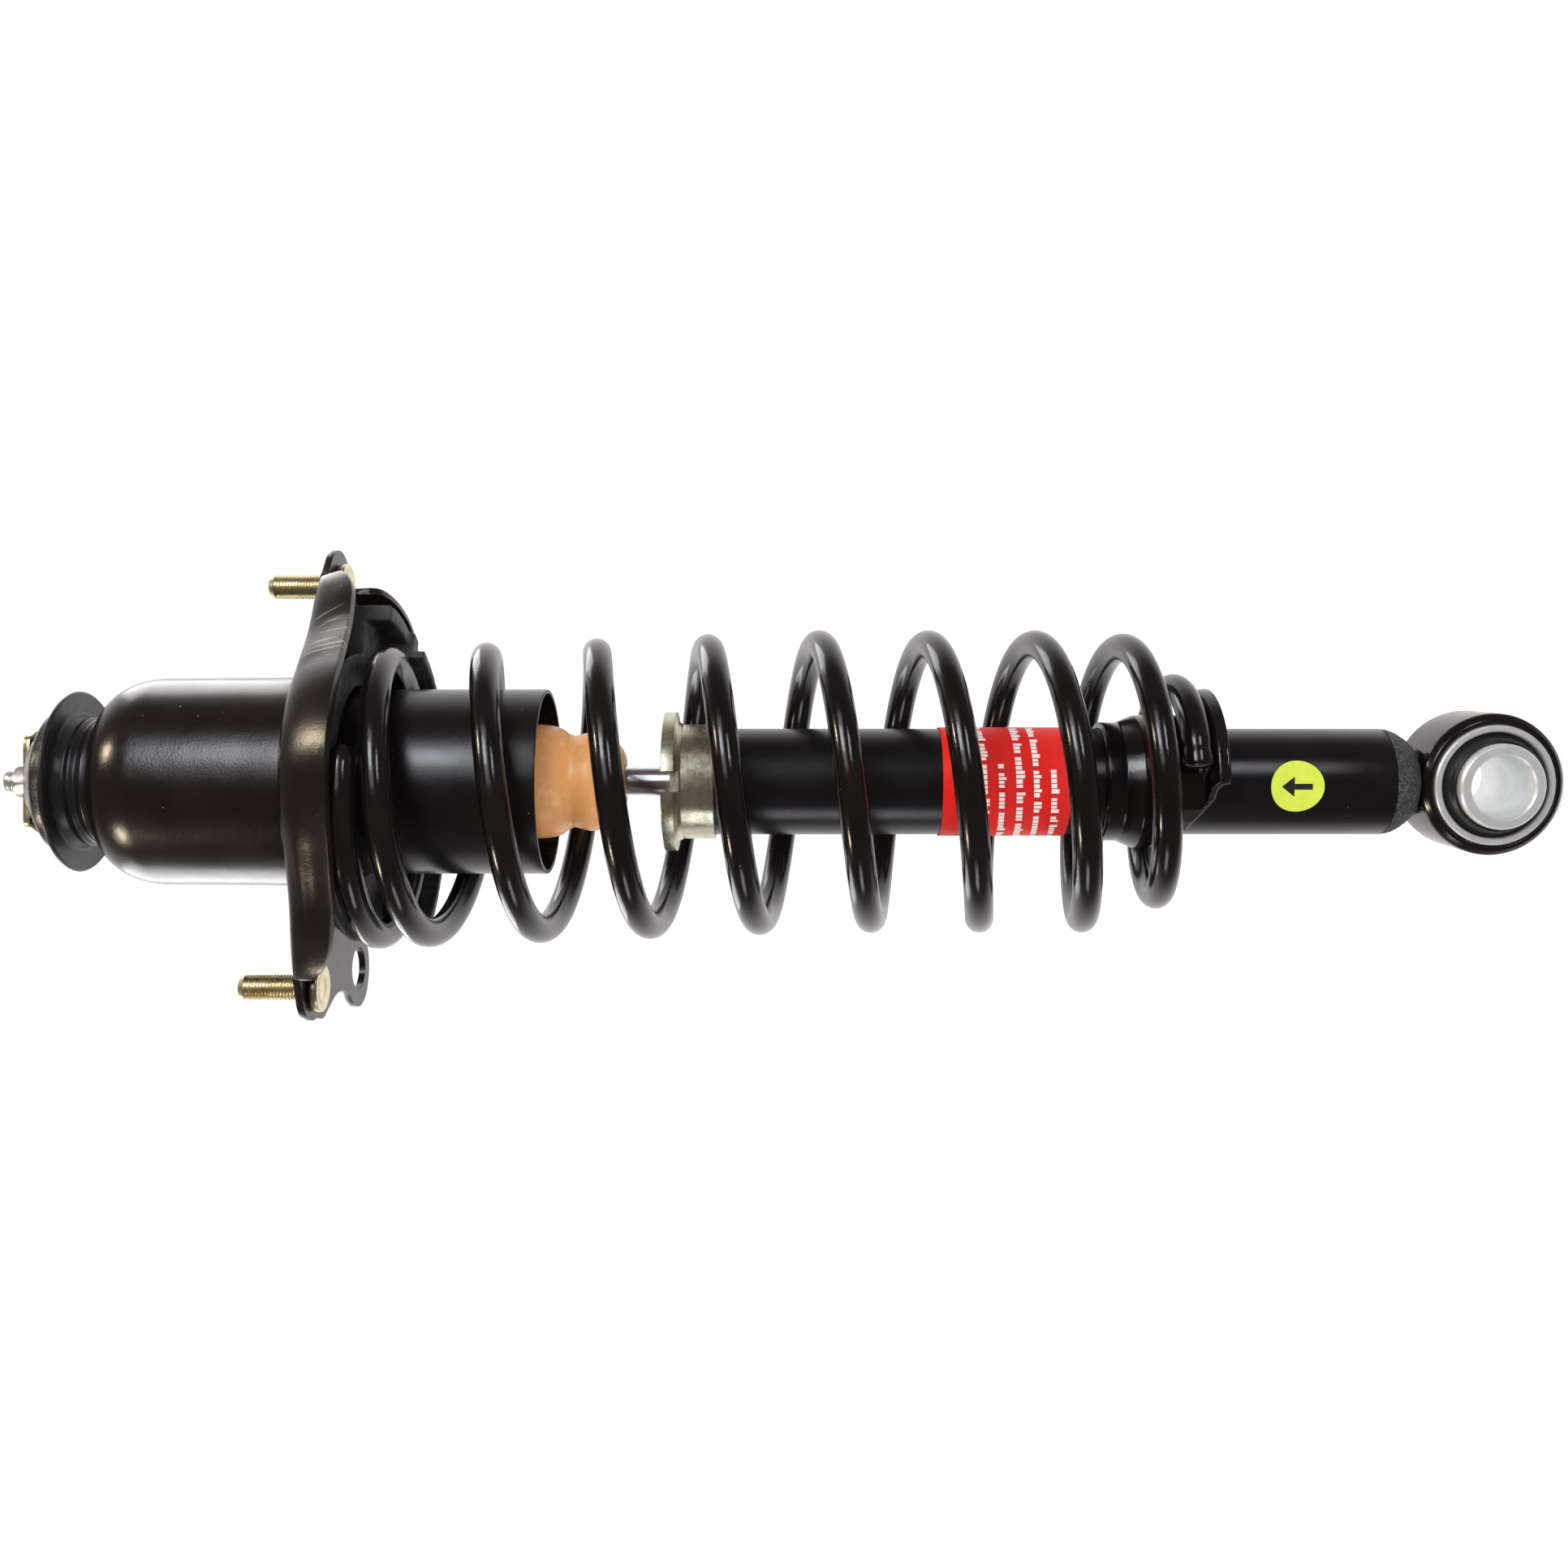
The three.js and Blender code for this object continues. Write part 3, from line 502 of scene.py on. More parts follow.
FOAM = foam()
RED = printed("label_red", (0.72, 0.010, 0.006), (0.66, 0.009, 0.005))
INK = printed("label_ink", (0.86, 0.84, 0.82), (0.78, 0.76, 0.74))
YELLOW = printed("label_yellow", (0.56, 0.66, 0.065), (0.52, 0.62, 0.058))
MARK = printed("label_mark", (0.014, 0.014, 0.013), (0.022, 0.02, 0.019))


def place(ob, body, slotname, *nodes):
    if body:
        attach(ob, body)
    if nodes:
        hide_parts(*nodes)
    return ob


# ------------------------------------------------------------------ rod, nut, washers
def rod_piece():
    rows = [(-238, 0, 0), (-238, 4.6, 0), (-237.4, 5, 0), (-201, 5, 0), (-200.4, 6.0, 0), (-200.2, 6.2, 0)]
    rows += [(z, 6.2, 0) for z in (-190, -140, -60, 0, 62.8)]
    rows += [(63.6, 5.8, 0), (64.0, 5.0, 0), (100, 5.0, 0)]
    rows += thread_rows(106, 124.2, 5.0, 1.25)
    rows += [(125.0, 4.75, 0), (125.9, 4.2, 0), (126.3, 3.4, 0), (126.4, 2.2, 0), (126.15, 1.2, 0), (126.1, 0, 0)]
    ob = threaded("rod_shaft", rows, [CHROME, ZINC], 1.25, 0.7)
    for p in ob.data.polygons:
        p.material_index = 1 if p.center.z > 0.0642 else 0
    return place(ob, "piston_rod", "hard_chrome", "piston_rod")


def nut_piece():
    af, z0, z1, bore = 7.0, 114.1, 120.9, 4.45
    seg, prof = 96, []
    verts, faces = [], []
    rows = [(bore + 0.45, z0), (af * 0.98, z0), ("h", z0 + 0.35), ("h", z1 - 1.35), ("c", z1), (bore + 0.7, z1), (bore, z1 - 0.7), (bore, z0 + 0.5)]
    for r, z in rows:
        for j in range(seg):
            t = 2 * math.pi * j / seg
            hexr = af / math.cos((t + math.pi / 6) % (math.pi / 3) - math.pi / 6)
            hexr = (hexr ** -10 + 8.0 ** -10) ** (-0.1)
            if r == "h":
                rr, zz = hexr, z - max(0.0, hexr - 7.15) * (1.1 if z > 118 else -0.5)
            elif r == "c":
                rr, zz = 6.7, z
            else:
                rr, zz = r, z
            verts.append((rr * math.cos(t), rr * math.sin(t), zz))
    m = len(rows)
    for i in range(m):
        a = (i + 1) % m
        for j in range(seg):
            k = (j + 1) % seg
            faces.append((i * seg + j, i * seg + k, a * seg + k, a * seg + j))
    return place(build("hex_nut", verts, faces, ZINC, 28), "piston_rod", "clear_zinc", "rod_nut")


def flat_washer():
    R, F, z0, z1 = 21.5, 13.4, 110.7, 113.7
    seg, verts, faces = 180, [], []

    def edge(t, inset):
        r = R - inset
        c = abs(math.cos(t - math.pi / 2)) if False else abs(math.sin(t))
        f = F - inset
        return (r ** -24 + (f / max(c, 1e-4)) ** -24) ** (-1 / 24)
    rows = [(5.35, z0), ("e", 0.5, z0), ("e", 0.12, z0 + 0.15), ("e", 0, z0 + 0.5), ("e", 0, z1 - 0.9), ("e", 0.2, z1 - 0.3), ("e", 0.8, z1), (6.2, z1), (5.35, z1 - 0.6)]
    for row in rows:
        for j in range(seg):
            t = 2 * math.pi * j / seg
            r = edge(t, row[1]) if row[0] == "e" else row[0]
            verts.append((r * math.cos(t), r * math.sin(t), row[-1]))
    m = len(rows)
    for i in range(m):
        a = (i + 1) % m
        for j in range(seg):
            k = (j + 1) % seg
            faces.append((i * seg + j, i * seg + k, a * seg + k, a * seg + j))
    return place(build("flatted_washer", verts, faces, GOLD, 30, CLOCK), "piston_rod", "gold_zinc", "top_washer")


def cup_piece():
    ob = lathe("dished_washer", [
        (5.35, 107.7, 0.3), (18.5, 107.7, 4), (26.8, 101.6, 1.5), (27.6, 98.9, 0.3), (29.6, 98.9, 0.3),
        (28.9, 103, 0.8), (28, 104.2, 1.2), (19.5, 110.3, 3), (5.35, 110.3, 0.3)], CUP, 144)
    me = ob.data
    att = me.attributes.new("wear", "FLOAT", "POINT")
    w = []
    for v in me.vertices:
        r, z = math.hypot(v.co.x, v.co.y) / MM, v.co.z / MM
        a = noise.noise(Vector((math.atan2(v.co.y, v.co.x) * 4, 0, 7)))
        w.append(max(0.0, 1 - abs(r - 29.35) / 0.45) * (0.55 + 0.6 * a) if z < 103.5 else max(0.0, 1 - abs(r - 28.3) / 0.5) * 0.35)
    att.data.foreach_set("value", w)
    return place(ob, "piston_rod", "black_paint", "cup_washer")


rod_piece()
nut_piece()
flat_washer()
cup_piece()

place(lathe("top_bushing", [
    (8.6, 76.5, 0.6), (19.4, 76.5, 0.8), (19.4, 82.85, 0.2), (25.4, 82.85, 0.8), (26.2, 85.6, 1.6), (24.6, 88.2, 1.4),
    (26.2, 90.2, 1.2), (24.8, 92.4, 1.8), (27.4, 96.4, 2.2), (35.6, 95.1, 0.5), (36.3, 95.9, 0.5), (36.2, 96.8, 0.6),
    (30.6, 98.5, 1.5), (26.6, 98.6, 0.4), (26.4, 101.2, 0.6), (18.2, 107.2, 0.5), (8.6, 107.2, 0.5)], BUSHING, 160, n=6),
    "top_mount", "bushing_rubber", "upper_bushing")
place(lathe("under_bushing", [
    (8.6, 68.9, 0.5), (23.8, 68.9, 1.5), (27.6, 70.4, 2), (28.6, 74, 3), (27.4, 78, 2), (24.6, 79.6, 1), (20, 79.6, 0.6), (20, 76.1, 0.4), (8.6, 76.1, 0.5)],
    BUSHING, 96), "top_mount", "bushing_rubber", "lower_bushing")
place(lathe("under_washer", [
    (5.35, 64.35, 0.3), (24, 64.35, 2), (27.5, 65.6, 0.5), (27.5, 68, 0.6), (24, 67, 2), (5.35, 67, 0.3)], ZINC, 96), "piston_rod", "clear_zinc", "lower_washer")


# ------------------------------------------------------------------ housing and dust tube
def housing():
    cx, cz, a, b, w = 26.0, 60.0, 15.4, 22.5, 2.5
    outer = [(cx + a * math.sin(t), cz + b * math.cos(t)) for t in np.linspace(0, math.pi / 2, 22)]
    inner = [(cx + (a - w) * math.sin(t), cz + (b - w) * math.cos(t)) for t in np.linspace(math.pi / 2, 0, 22)]
    prof = [(20.1, 80, 0.4), (20.1, 82.5, 1.0)] + outer
    prof += [(41.55, 40), (41.7, 20), (41.95, 10), (42.3, 4), (42.3, -3, 0.4), (39.8, -3, 0.4), (39.8, 4)] + inner

    def warp(r, h, t):
        # slight flattening and draw marks of a deep pressing
        k = math.exp(-((h - 60) / 30) ** 2)
        return r + 0.05 * math.sin(3 * t + 0.4) * k, h
    return place(lathe("housing_shell", prof, BELL, 220, warp=warp), "top_mount", "black_paint", "mount_housing")


housing()
place(lathe("cover_tube", [
    (35.4, -92.2, 0.3), (37.1, -92.2, 0.5), (37.1, -60), (37.1, 0), (37.1, 36), (37.2, 37.4, 1), (38.4, 40, 0.5), (36.8, 40, 0.4), (35.4, 37.6, 1)],
    COVER, 200), "top_mount", "black_paint", "dust_tube")


# ------------------------------------------------------------------ pressed flange
FRONT = [(-84, -16), (-76, -21.5), (-68, -25), (-52, -31), (-35, -41), (-18, -50.5), (0, -54), (18, -50.5), (35, -41), (52, -31), (68, -25), (76, -21.5), (84, -16)]
BACK = [(87, 15), (86.5, 23), (83, 33), (76, 45), (64, 56), (46, 64), (24, 68.5), (0, 70), (-20, 69), (-36, 66)]


def rounded(u, w):
    return math.sqrt(max(0.0, 1 - (1 - min(1.0, max(u, 0) / w)) ** 2))


def flange():
    front = resample(spline(FRONT), 170)
    back = resample(spline(BACK), 130)
    ear_a = [(82.7 + 15.2 * math.cos(t), 0.5 + 15.2 * math.sin(t)) for t in np.radians(np.linspace(-62, 64, 44))]
    far = [(-46, 59), (-55, 70), (-62, 76.5), (-70, 78.6), (-79, 76), (-84.6, 68.5), (-85, 59.5), (-81.4, 50), (-80.4, 41), (-83, 31), (-89, 22), (-93.6, 15)]
    far += [(-82.7 + 12.8 * math.cos(t), 14.4 * math.sin(t)) for t in np.radians(np.linspace(152, 242, 7))]
    far = resample(spline([BACK[-1]] + far + [FRONT[0]]), 170)[3:-3]
    pts, drop, flare, tags = [], [], [], []
    for i, p in enumerate(front):
        s = i / (len(front) - 1)
        both = rounded(min(max(s - 0.02, 0), max(0.973 - s, 0)), 0.10)
        pts.append(p)
        drop.append(3.6 * min(1, both * 2) + (12 + 6 * max(math.sin(math.pi * s), 0) ** 0.8) * both)
        flare.append((1.5 * min(1, both * 2) + (7 + 4 * math.sin(math.pi * s)) * both))
        tags.append(s)
    for p in ear_a:
        pts.append(p), drop.append(0), flare.append(0), tags.append(-1)
    for i, p in enumerate(back):
        s = i / (len(back) - 1)
        k = rounded(s, 0.3) * rounded(1 - s, 0.3)
        pts.append(p)
        drop.append(3.6 * min(1, 2 * k) + 19.4 * k)
        flare.append(0.8 * min(1, 2 * k) + 3.4 * rounded(s, 0.2) * rounded(1 - s, 0.2))
        tags.append(-1)
    for p in far:
        pts.append(p), drop.append(0), flare.append(0), tags.append(-1)
    P = np.array([tuple(p) for p in pts])
    keep = np.concatenate([[True], np.linalg.norm(np.diff(P, axis=0), axis=1) > 0.05])
    P, drop, flare, tags = P[keep], np.array(drop)[keep], np.array(flare)[keep], np.array(tags)[keep]
    n = len(P)
    d = np.roll(P, -2, axis=0) - np.roll(P, 2, axis=0)
    d /= np.linalg.norm(d, axis=1)[:, None]
    nrm = np.column_stack([d[:, 1], -d[:, 0]])
    for _ in range(4):
        nrm = (np.roll(nrm, 1, axis=0) + 2 * nrm + np.roll(nrm, -1, axis=0)) / 4
    nrm /= np.linalg.norm(nrm, axis=1)[:, None]
    # the skirt's inset keeps the outer face on the fold line; flat edges stay on the outline
    rows = []
    hole = np.array([42.33 * np.array([math.cos(a), math.sin(a)]) for a in np.arctan2(P[:, 1], P[:, 0])])
    edge = P - nrm * 3.2
    for u in (0, 0.04, 0.2, 0.4, 0.6, 0.8, 0.94, 1):
        q = hole * (1 - u) + edge * u
        rows.append(np.column_stack([q, np.zeros(n)]))
    k = np.clip(drop / 4.0, 0, 1)
    for o, z in ((-1.9, -0.05), (-0.9, -0.2), (0, -0.55)):
        rows.append(np.column_stack([P + nrm * o, z * k]))
    for v in (0.03, 0.07, 0.12, 0.18, 0.25, 0.33, 0.42, 0.52, 0.62, 0.72, 0.82, 0.91, 0.97, 1.0):
        o = flare * v ** 0.62
        z = -0.55 * k - np.maximum(drop - 0.55, 0) * v
        # long teardrop emboss along the skirt's near half
        ridge = np.array([math.exp(-((v - (0.30 + 0.45 * max(0, 0.4 - s))) / 0.11) ** 2) * math.exp(-((s - 0.25) / 0.10) ** 4) if s >= 0 else 0 for s in tags])
        dish = np.array([math.exp(-((v - 0.66) / 0.22) ** 2) * math.exp(-((s - 0.24) / 0.11) ** 4) if s >= 0 else 0 for s in tags])
        o = o + 0.55 * ridge * (drop > 6) - 0.85 * dish * (drop > 6)
        rows.append(np.column_stack([P + nrm * o[:, None], z]))
    verts = np.vstack(rows)
    faces = []
    for i in range(len(rows) - 1):
        for j in range(n):
            q = (j + 1) % n
            faces.append((i * n + j, (i + 1) * n + j, (i + 1) * n + q, i * n + q))
    ob = build("flange_pressing", verts, faces, SKIRT, 40, 0, merge=3e-5, recalc=True)
    up = sum(p.normal.z for p in ob.data.polygons if abs(p.normal.z) > 0.9)
    if up < 0:
        ob.data.flip_normals()
    s = ob.modifiers.new("thick", "SOLIDIFY")
    s.thickness, s.offset, s.use_even_offset = 2.8 * MM, -1, False
    bv = ob.modifiers.new("edge", "BEVEL")
    bv.width, bv.segments, bv.limit_method, bv.angle_limit = 0.7 * MM, 3, "ANGLE", math.radians(50)
    bake(ob, 40)
    hole_tool = prism("hole_tool", [(-69 + 9 * math.cos(t), 62 + 10.3 * math.sin(t)) for t in np.linspace(0, 2 * math.pi, 73)[:-1]], -30, 20, SKIRT)
    heads = [lathe("head_tool%d" % i, [(0, -40), (11.7, -40), (11.7, -3.02), (0, -3.02)], SKIRT, 64, centre=(x, 0)) for i, x in enumerate((82.7, -82.7))]
    cut(ob, hole_tool, *heads)
    ob.data.transform(Matrix.Rotation(FLANGE_CLOCK, 4, "Z"))
    close_mesh(ob.data, 40)
    return place(ob, "top_mount", "black_paint", "mount_flange")


flange()

# raised seam where the shell's foot meets the pressing
place(lathe("foot_seam", [(42.0, -0.6), (43.9, -0.4, 0.4), (43.2, 0.9, 0.8), (42.15, 2.2, 0.3), (41.9, 2.0)], BELL, 200,
            warp=lambda r, h, t: (r + (0.12 * noise.noise(Vector((math.cos(t) * 9, math.sin(t) * 9, h)))), h)), "top_mount", "black_paint")


def stud(name, node, sx):
    z0 = -3.35
    rows = [(z0 - 3.4, 0, 0), (z0 - 3.4, 3.2, 0), (z0 - 3.15, 3.6, 0), (z0 - 3.15, 6.2, 0), (z0 - 3.4, 6.6, 0), (z0 - 3.4, 8.7, 0), (z0 - 3.25, 9.2, 0),
            (z0 - 2.8, 9.5, 0), (z0 - 0.7, 9.5, 0), (z0 - 0.2, 9.3, 0), (z0, 8.8, 0), (z0, 5.6, 0), (z0 + 0.4, 5.0, 0), (1.4, 5.0, 0)]
    rows += thread_rows(1.8, 23.6, 5.05, 1.25, per=12)
    rows += [(24.2, 4.55, 0), (25.4, 4.05, 0), (25.9, 3.5, 0), (26, 2.8, 0), (26, 0, 0)]
    a = FLANGE_CLOCK
    at = (sx * 82.7 * math.cos(a), sx * 82.7 * math.sin(a))
    return place(threaded(name, rows, GOLD, 1.25, 0.80, at=at), "top_mount", "gold_zinc", node)


stud("stud_bolt_a", "stud_a", 1)
stud("stud_bolt_b", "stud_b", -1)

# ------------------------------------------------------------------ spring
HELIX = [
    [-70, -23.6, 55.1], [-90, -23.8, 55.1], [-180, -25.6, 55.1], [-270, -26.6, 55.1], [-360, -28.4, 55.1], [-450, -37.4, 55.1],
    [-540, -46, 55.1], [-630, -56.5, 55.1], [-720, -67.4, 55.1], [-810, -80, 55.1], [-900, -90.4, 55.1],
    [-1080, -111.6, 55.1], [-1260, -134.2, 55.1], [-1440, -155.9, 55.1], [-1620, -178, 55.1],
    [-1800, -200.4, 55.1], [-1980, -222.4, 55.1], [-2160, -244, 55.1], [-2340, -265.7, 55.1],
    [-2520, -286.6, 55.1], [-2700, -306.6, 55.1], [-2790, -315.4, 55], [-2880, -322.6, 54], [-2970, -328.6, 50.2],
    [-3060, -335.8, 45.2], [-3150, -340.2, 40.6], [-3240, -343.4, 37.8], [-3322, -344.2, 36.8],
]


def helix(a):
    T, n = HELIX, len(HELIX)
    i = 0
    while i < n - 2 and a < T[i + 1][0]:
        i += 1

    def slope(k, c):
        k0, k1 = max(k - 1, 0), min(k + 1, n - 1)
        return (T[k1][c] - T[k0][c]) / (T[k1][0] - T[k0][0])
    h = T[i + 1][0] - T[i][0]
    u = (a - T[i][0]) / h

    def val(c):
        return ((2 * u ** 3 - 3 * u * u + 1) * T[i][c] + (u ** 3 - 2 * u * u + u) * h * slope(i, c)
                + (-2 * u ** 3 + 3 * u * u) * T[i + 1][c] + (u ** 3 - u * u) * h * slope(i + 1, c))
    z, r = val(1), val(2)
    dx = -6.4 * max(0, min(1, (200 + z) / 172))
    return np.array([dx + r * math.cos(math.radians(a)), r * math.sin(math.radians(a)), z])


def spring():
    W, seg = 5.65, 28
    stations = [(a, 1.0) for a in np.arange(-70, -3322, -4.0)]
    stations = [(a, 1.0) for a, _ in stations if a > -3300] + [(a, 1.0) for a in np.arange(-3300, -3322.1, -1.0)]
    verts, faces, heights = [], [], []
    pts = np.array([helix(a) for a, _ in stations])
    arc = np.concatenate([[0], np.cumsum(np.linalg.norm(np.diff(pts, axis=0), axis=1))])
    L = arc[-1]
    for i, (a, _) in enumerate(stations):
        p = pts[i]
        q0, q1 = pts[max(i - 1, 0)], pts[min(i + 1, len(pts) - 1)]
        t = (q1 - q0) / np.linalg.norm(q1 - q0)
        e = np.array([math.cos(math.radians(a)), math.sin(math.radians(a)), 0])
        e = e - t * (e @ t)
        e /= np.linalg.norm(e)
        b = np.cross(t, e)
        k = 1.0
        rest, head = L - arc[i], arc[i]
        k *= 1 - 0.055 * math.exp(-((rest - 7.5) / 1.8) ** 2)
        for end in (rest, head):
            if end < 1.6:
                k *= math.sqrt(max(0.0, 1 - (1 - end / 1.6) ** 2)) * 0.35 + 0.65
        for j in range(seg):
            w = 2 * math.pi * j / seg
            verts.append(p + W * k * (math.cos(w) * e + math.sin(w) * b))
    m = len(stations)
    for i in range(m - 1):
        for j in range(seg):
            k = (j + 1) % seg
            faces.append((i * seg + j, i * seg + k, (i + 1) * seg + k, (i + 1) * seg + j))
    faces.append(tuple(range(seg)))
    faces.append(tuple(range((m - 1) * seg, m * seg)))
    ob = build("spring_wire", verts, faces, GLOSS, 50, CLOCK)
    # share of the stroke along the wire: none in the closed coil, all of it in the pigtail
    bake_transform(ob, "top_mount", "damper", (0, 0, -0.0284), (0, 0, -0.3286))
    me = ob.data
    wire = pts.copy()
    c, s = math.cos(CLOCK), math.sin(CLOCK)
    wire = np.column_stack([wire[:, 0] * c - wire[:, 1] * s, wire[:, 0] * s + wire[:, 1] * c, wire[:, 2]]) * MM
    co = np.array([v.co for v in me.vertices]).reshape(-1, 3)
    z_at = np.empty(len(co))
    for i0 in range(0, len(co), 2000):
        d2 = ((co[i0:i0 + 2000, None, :] - wire[None, :, :]) ** 2).sum(axis=2)
        z_at[i0:i0 + 2000] = wire[d2.argmin(axis=1), 2]
    share = np.clip((z_at + 0.0284) / (-0.3286 + 0.0284), 0, 1)
    me.attributes["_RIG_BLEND"].data.foreach_set("value", share.astype(np.float32))
    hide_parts("coil_spring")
    return ob


spring()


# ------------------------------------------------------------------ upper spring insulator
def insulator():
    c = -6.4
    seg = 144
    rows = [(0, 38.4, -3.35), (1, 46.9, -3.35), (1, 47.6, -4.4), (1, 50.5, -8.2), (1, 54.6, -12.6), (1, 58.2, -16.6), (1, 58.0, -17.2), (0, 38.4, -17.2)]
    verts, faces = [], []
    for kind, r, z in rows:
        for j in range(seg):
            t = 2 * math.pi * j / seg
            verts.append(((c if kind else 0) + r * math.cos(t), r * math.sin(t), z))
    m = len(rows)
    for i in range(m):
        a = (i + 1) % m
        for j in range(seg):
            k = (j + 1) % seg
            faces.append((i * seg + j, i * seg + k, a * seg + k, a * seg + j))
    parts = [build("i0", verts, faces, RUBBER)]
    specs = [(58, 65.4, 20, 150, -17.2, -8.2), (61.6, 65.4, 20, 150, -36.8, -12), (64, 70.8, 44, 62, -33, -14), (56, 78, 2.4, 30, -17.2, -8.2),
             (71.6, 78, 2.4, 30, -28, -14), (61.6, 78, 26, 32, -30, -12)]
    # moulded ribs round the lip
    specs += [(65.0, 66.9, a, a + 2.2, -34.5, -10) for a in (70, 86, 102, 118, 134)]
    for i, sp in enumerate(specs):
        pts, z0, z1 = sector(c, 0, *sp)
        parts.append(prism("i%d" % (i + 1), pts, z0, z1, RUBBER))
    ob = join("insulator_pad", parts)
    rubberise(ob, 0.85, 3, 0.5)
    ob.data.materials.clear()
    ob.data.materials.append(RUBBER)
    displaced(ob, lambda p, n: 0.16 * noise.noise(p * 0.12) + 0.05 * noise.noise(p * 0.6))
    ob.data.transform(Matrix.Rotation(CLOCK, 4, "Z"))
    close_mesh(ob.data, 60)
    return place(ob, "top_mount", "rubber", "spring_insulator")


insulator()


# ------------------------------------------------------------------ bump stop and cap
def bump_stop():
    out = [(11.5, -122.8), (14.2, -121.4), (16.6, -118.4), (19.5, -112.6), (19.9, -109.2), (19.2, -106), (18.5, -103), (19.2, -100.6), (21.4, -97.6), (22.6, -93), (22.9, -88),
           (22.2, -82.4), (20.8, -76.6), (19.6, -72), (19.4, -69), (20.4, -65.2), (22, -61), (22.5, -55), (22.5, -49), (21.8, -42), (20.2, -37), (19.6, -34), (20.2, -31),
           (21.9, -26), (22.5, -20), (22.5, -12), (21.8, -5), (20.2, -1), (19.6, 2), (20.2, 5), (21.9, 10), (22.5, 16), (22.5, 24), (21.4, 31), (20.3, 37), (22.6, 42), (24, 47)]
    curve = spline(out, 4)
    prof = [(7, -123, 0.4), (11.2, -123, 0.3)] + [tuple(p) for p in curve] + [(24, 56), (24, 63.5, 0.6), (7, 63.5, 0.4)]
    prof += [(7, z) for z in np.linspace(55, -115, 18)]

    def warp(r, h, t):
        if r < 8:
            return r, h
        return r + 0.12 * noise.noise(Vector((r * math.cos(t) * 0.09, r * math.sin(t) * 0.09, h * 0.09))) + 0.16 * math.exp(-(((t - 2.2) % (2 * math.pi)) / 0.03) ** 2), h
    ob = lathe("foam_stop", prof, FOAM, 144, sharp=60, warp=warp)
    place(ob, "top_mount", "foam", "bump_stop")
    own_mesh(ob)
    return ob


bump_stop()


def bump_cap():
    ob = lathe("stop_cap", [
        (10.5, -142.6, 0.3), (10.5, -146, 0.3), (20.9, -147.3, 0.6), (21.65, -148.2, 0.4), (21.65, -159.5, 0.3), (22.9, -159.5, 0.4),
        (23, -146.6, 0.8), (24.2, -144.7, 0.8), (27.9, -144.3, 0.5), (27.9, -139.2, 0.4), (26.4, -139.2, 0.4), (26.1, -142.1, 0.8), (24, -142.6, 0.5)],
        OLIVE, 180, warp=lambda r, h, t: (r + (0.10 * math.cos(18 * t) if (r > 22.4 and h < -148.4) else 0), h))
    tools = []
    for y in (-27.5, 27.5):
        tools.append(prism("notch%d" % y, [(-4, y - 4.5), (4, y - 4.5), (4, y + 4.5), (-4, y + 4.5)], -146, -136, OLIVE))
    cut(ob, *tools)
    ob.data.transform(Matrix.Rotation(CLOCK, 4, "Z"))
    close_mesh(ob.data, 32)
    return place(ob, "damper", "olive_zinc", "bump_cap")


bump_cap()

# ------------------------------------------------------------------ damper body
place(lathe("body_tube", [
    (19.6, -426), (21.3, -426, 0.2), (21.3, -400), (21.3, -340), (21.3, -250), (21.3, -170), (21.3, -149.4, 1.0), (20.3, -148.2, 0.6), (16, -148.2, 0.3), (16, -149.8, 0.3), (19.6, -150.4, 0.5)],
    TUBE, 160), "damper", "black_paint", "damper_tube")


def tube_base():
    prof = [(0, -424), (19.2, -424), (19.2, -426.35), (21.3, -426.5), (21.15, -428.4), (20.5, -430.4), (19.5, -432.3), (18.3, -434.2), (17.2, -435.6), (15.8, -437), (14.4, -438.2),
            (13.2, -439.2), (12.5, -440.4), (12.1, -442), (12, -444), (12, -447), (0, -447)]
    seg = 240

    def warp(r, h, t):
        if r > 15 and h < -426.4:  # gritty, drawn-in end
            g = noise.noise(Vector((math.cos(t) * 22, math.sin(t) * 22, h * 1.3)))
            g += 0.6 * noise.noise(Vector((math.cos(t) * 60, math.sin(t) * 60, h * 3.0)))
            r -= 0.14 + 0.22 * g + 0.06 * math.sin(h * 5.2)
        return r, h
    dense = []
    for i, p in enumerate(prof):
        dense.append(p)
        if 3 <= i <= 12:
            q = prof[i + 1]
            for k in (1, 2):
                dense.append(((p[0] * (3 - k) + q[0] * k) / 3, (p[1] * (3 - k) + q[1] * k) / 3))
    ob = lathe("drawn_end", dense, [ROUGH, WELD], seg, warp=warp, sharp=50)
    tool = lathe("eye_tool", [(0, -30), (28.5, -30), (28.5, 30), (0, 30)], WELD, 128, axis="Y")
    cut(ob, tool)
    for p in ob.data.polygons:
        p.material_index = 0 if p.center.z > -0.4378 else 1
    return place(ob, "damper", "black_paint", "tube_base")


tube_base()


def neck_weld():
    # a single rippled weld bead round the neck, against the eye
    verts, faces, seg, sec = [], [], 200, 18
    for j in range(seg):
        t = 2 * math.pi * j / seg
        lump = noise.noise(Vector((math.cos(t) * 3.1, math.sin(t) * 3.1, 4.2)))
        ripple = 0.22 * math.sin(26 * t) + 0.5 * lump
        # foot of the neck follows the eye's round outside
        x = 13.0 * math.cos(t)
        zf = EYE_Z + math.sqrt(max(29.1 ** 2 - x * x, 0)) + 0.9
        rad = 2.05 + ripple * 0.8
        for k in range(sec):
            w = 2 * math.pi * k / sec
            r = 12.0 + rad * 0.95 * math.cos(w) + 0.2 * lump
            verts.append((r * math.cos(t), r * math.sin(t), zf + rad * math.sin(w) + 0.4 * lump))
    for j in range(seg):
        q = (j + 1) % seg
        for k in range(sec):
            u = (k + 1) % sec
            faces.append((j * sec + k, q * sec + k, q * sec + u, j * sec + u))
    ob = build("neck_weld", verts, faces, WELD, 60)
    return place(ob, "damper", "black_paint")


neck_weld()

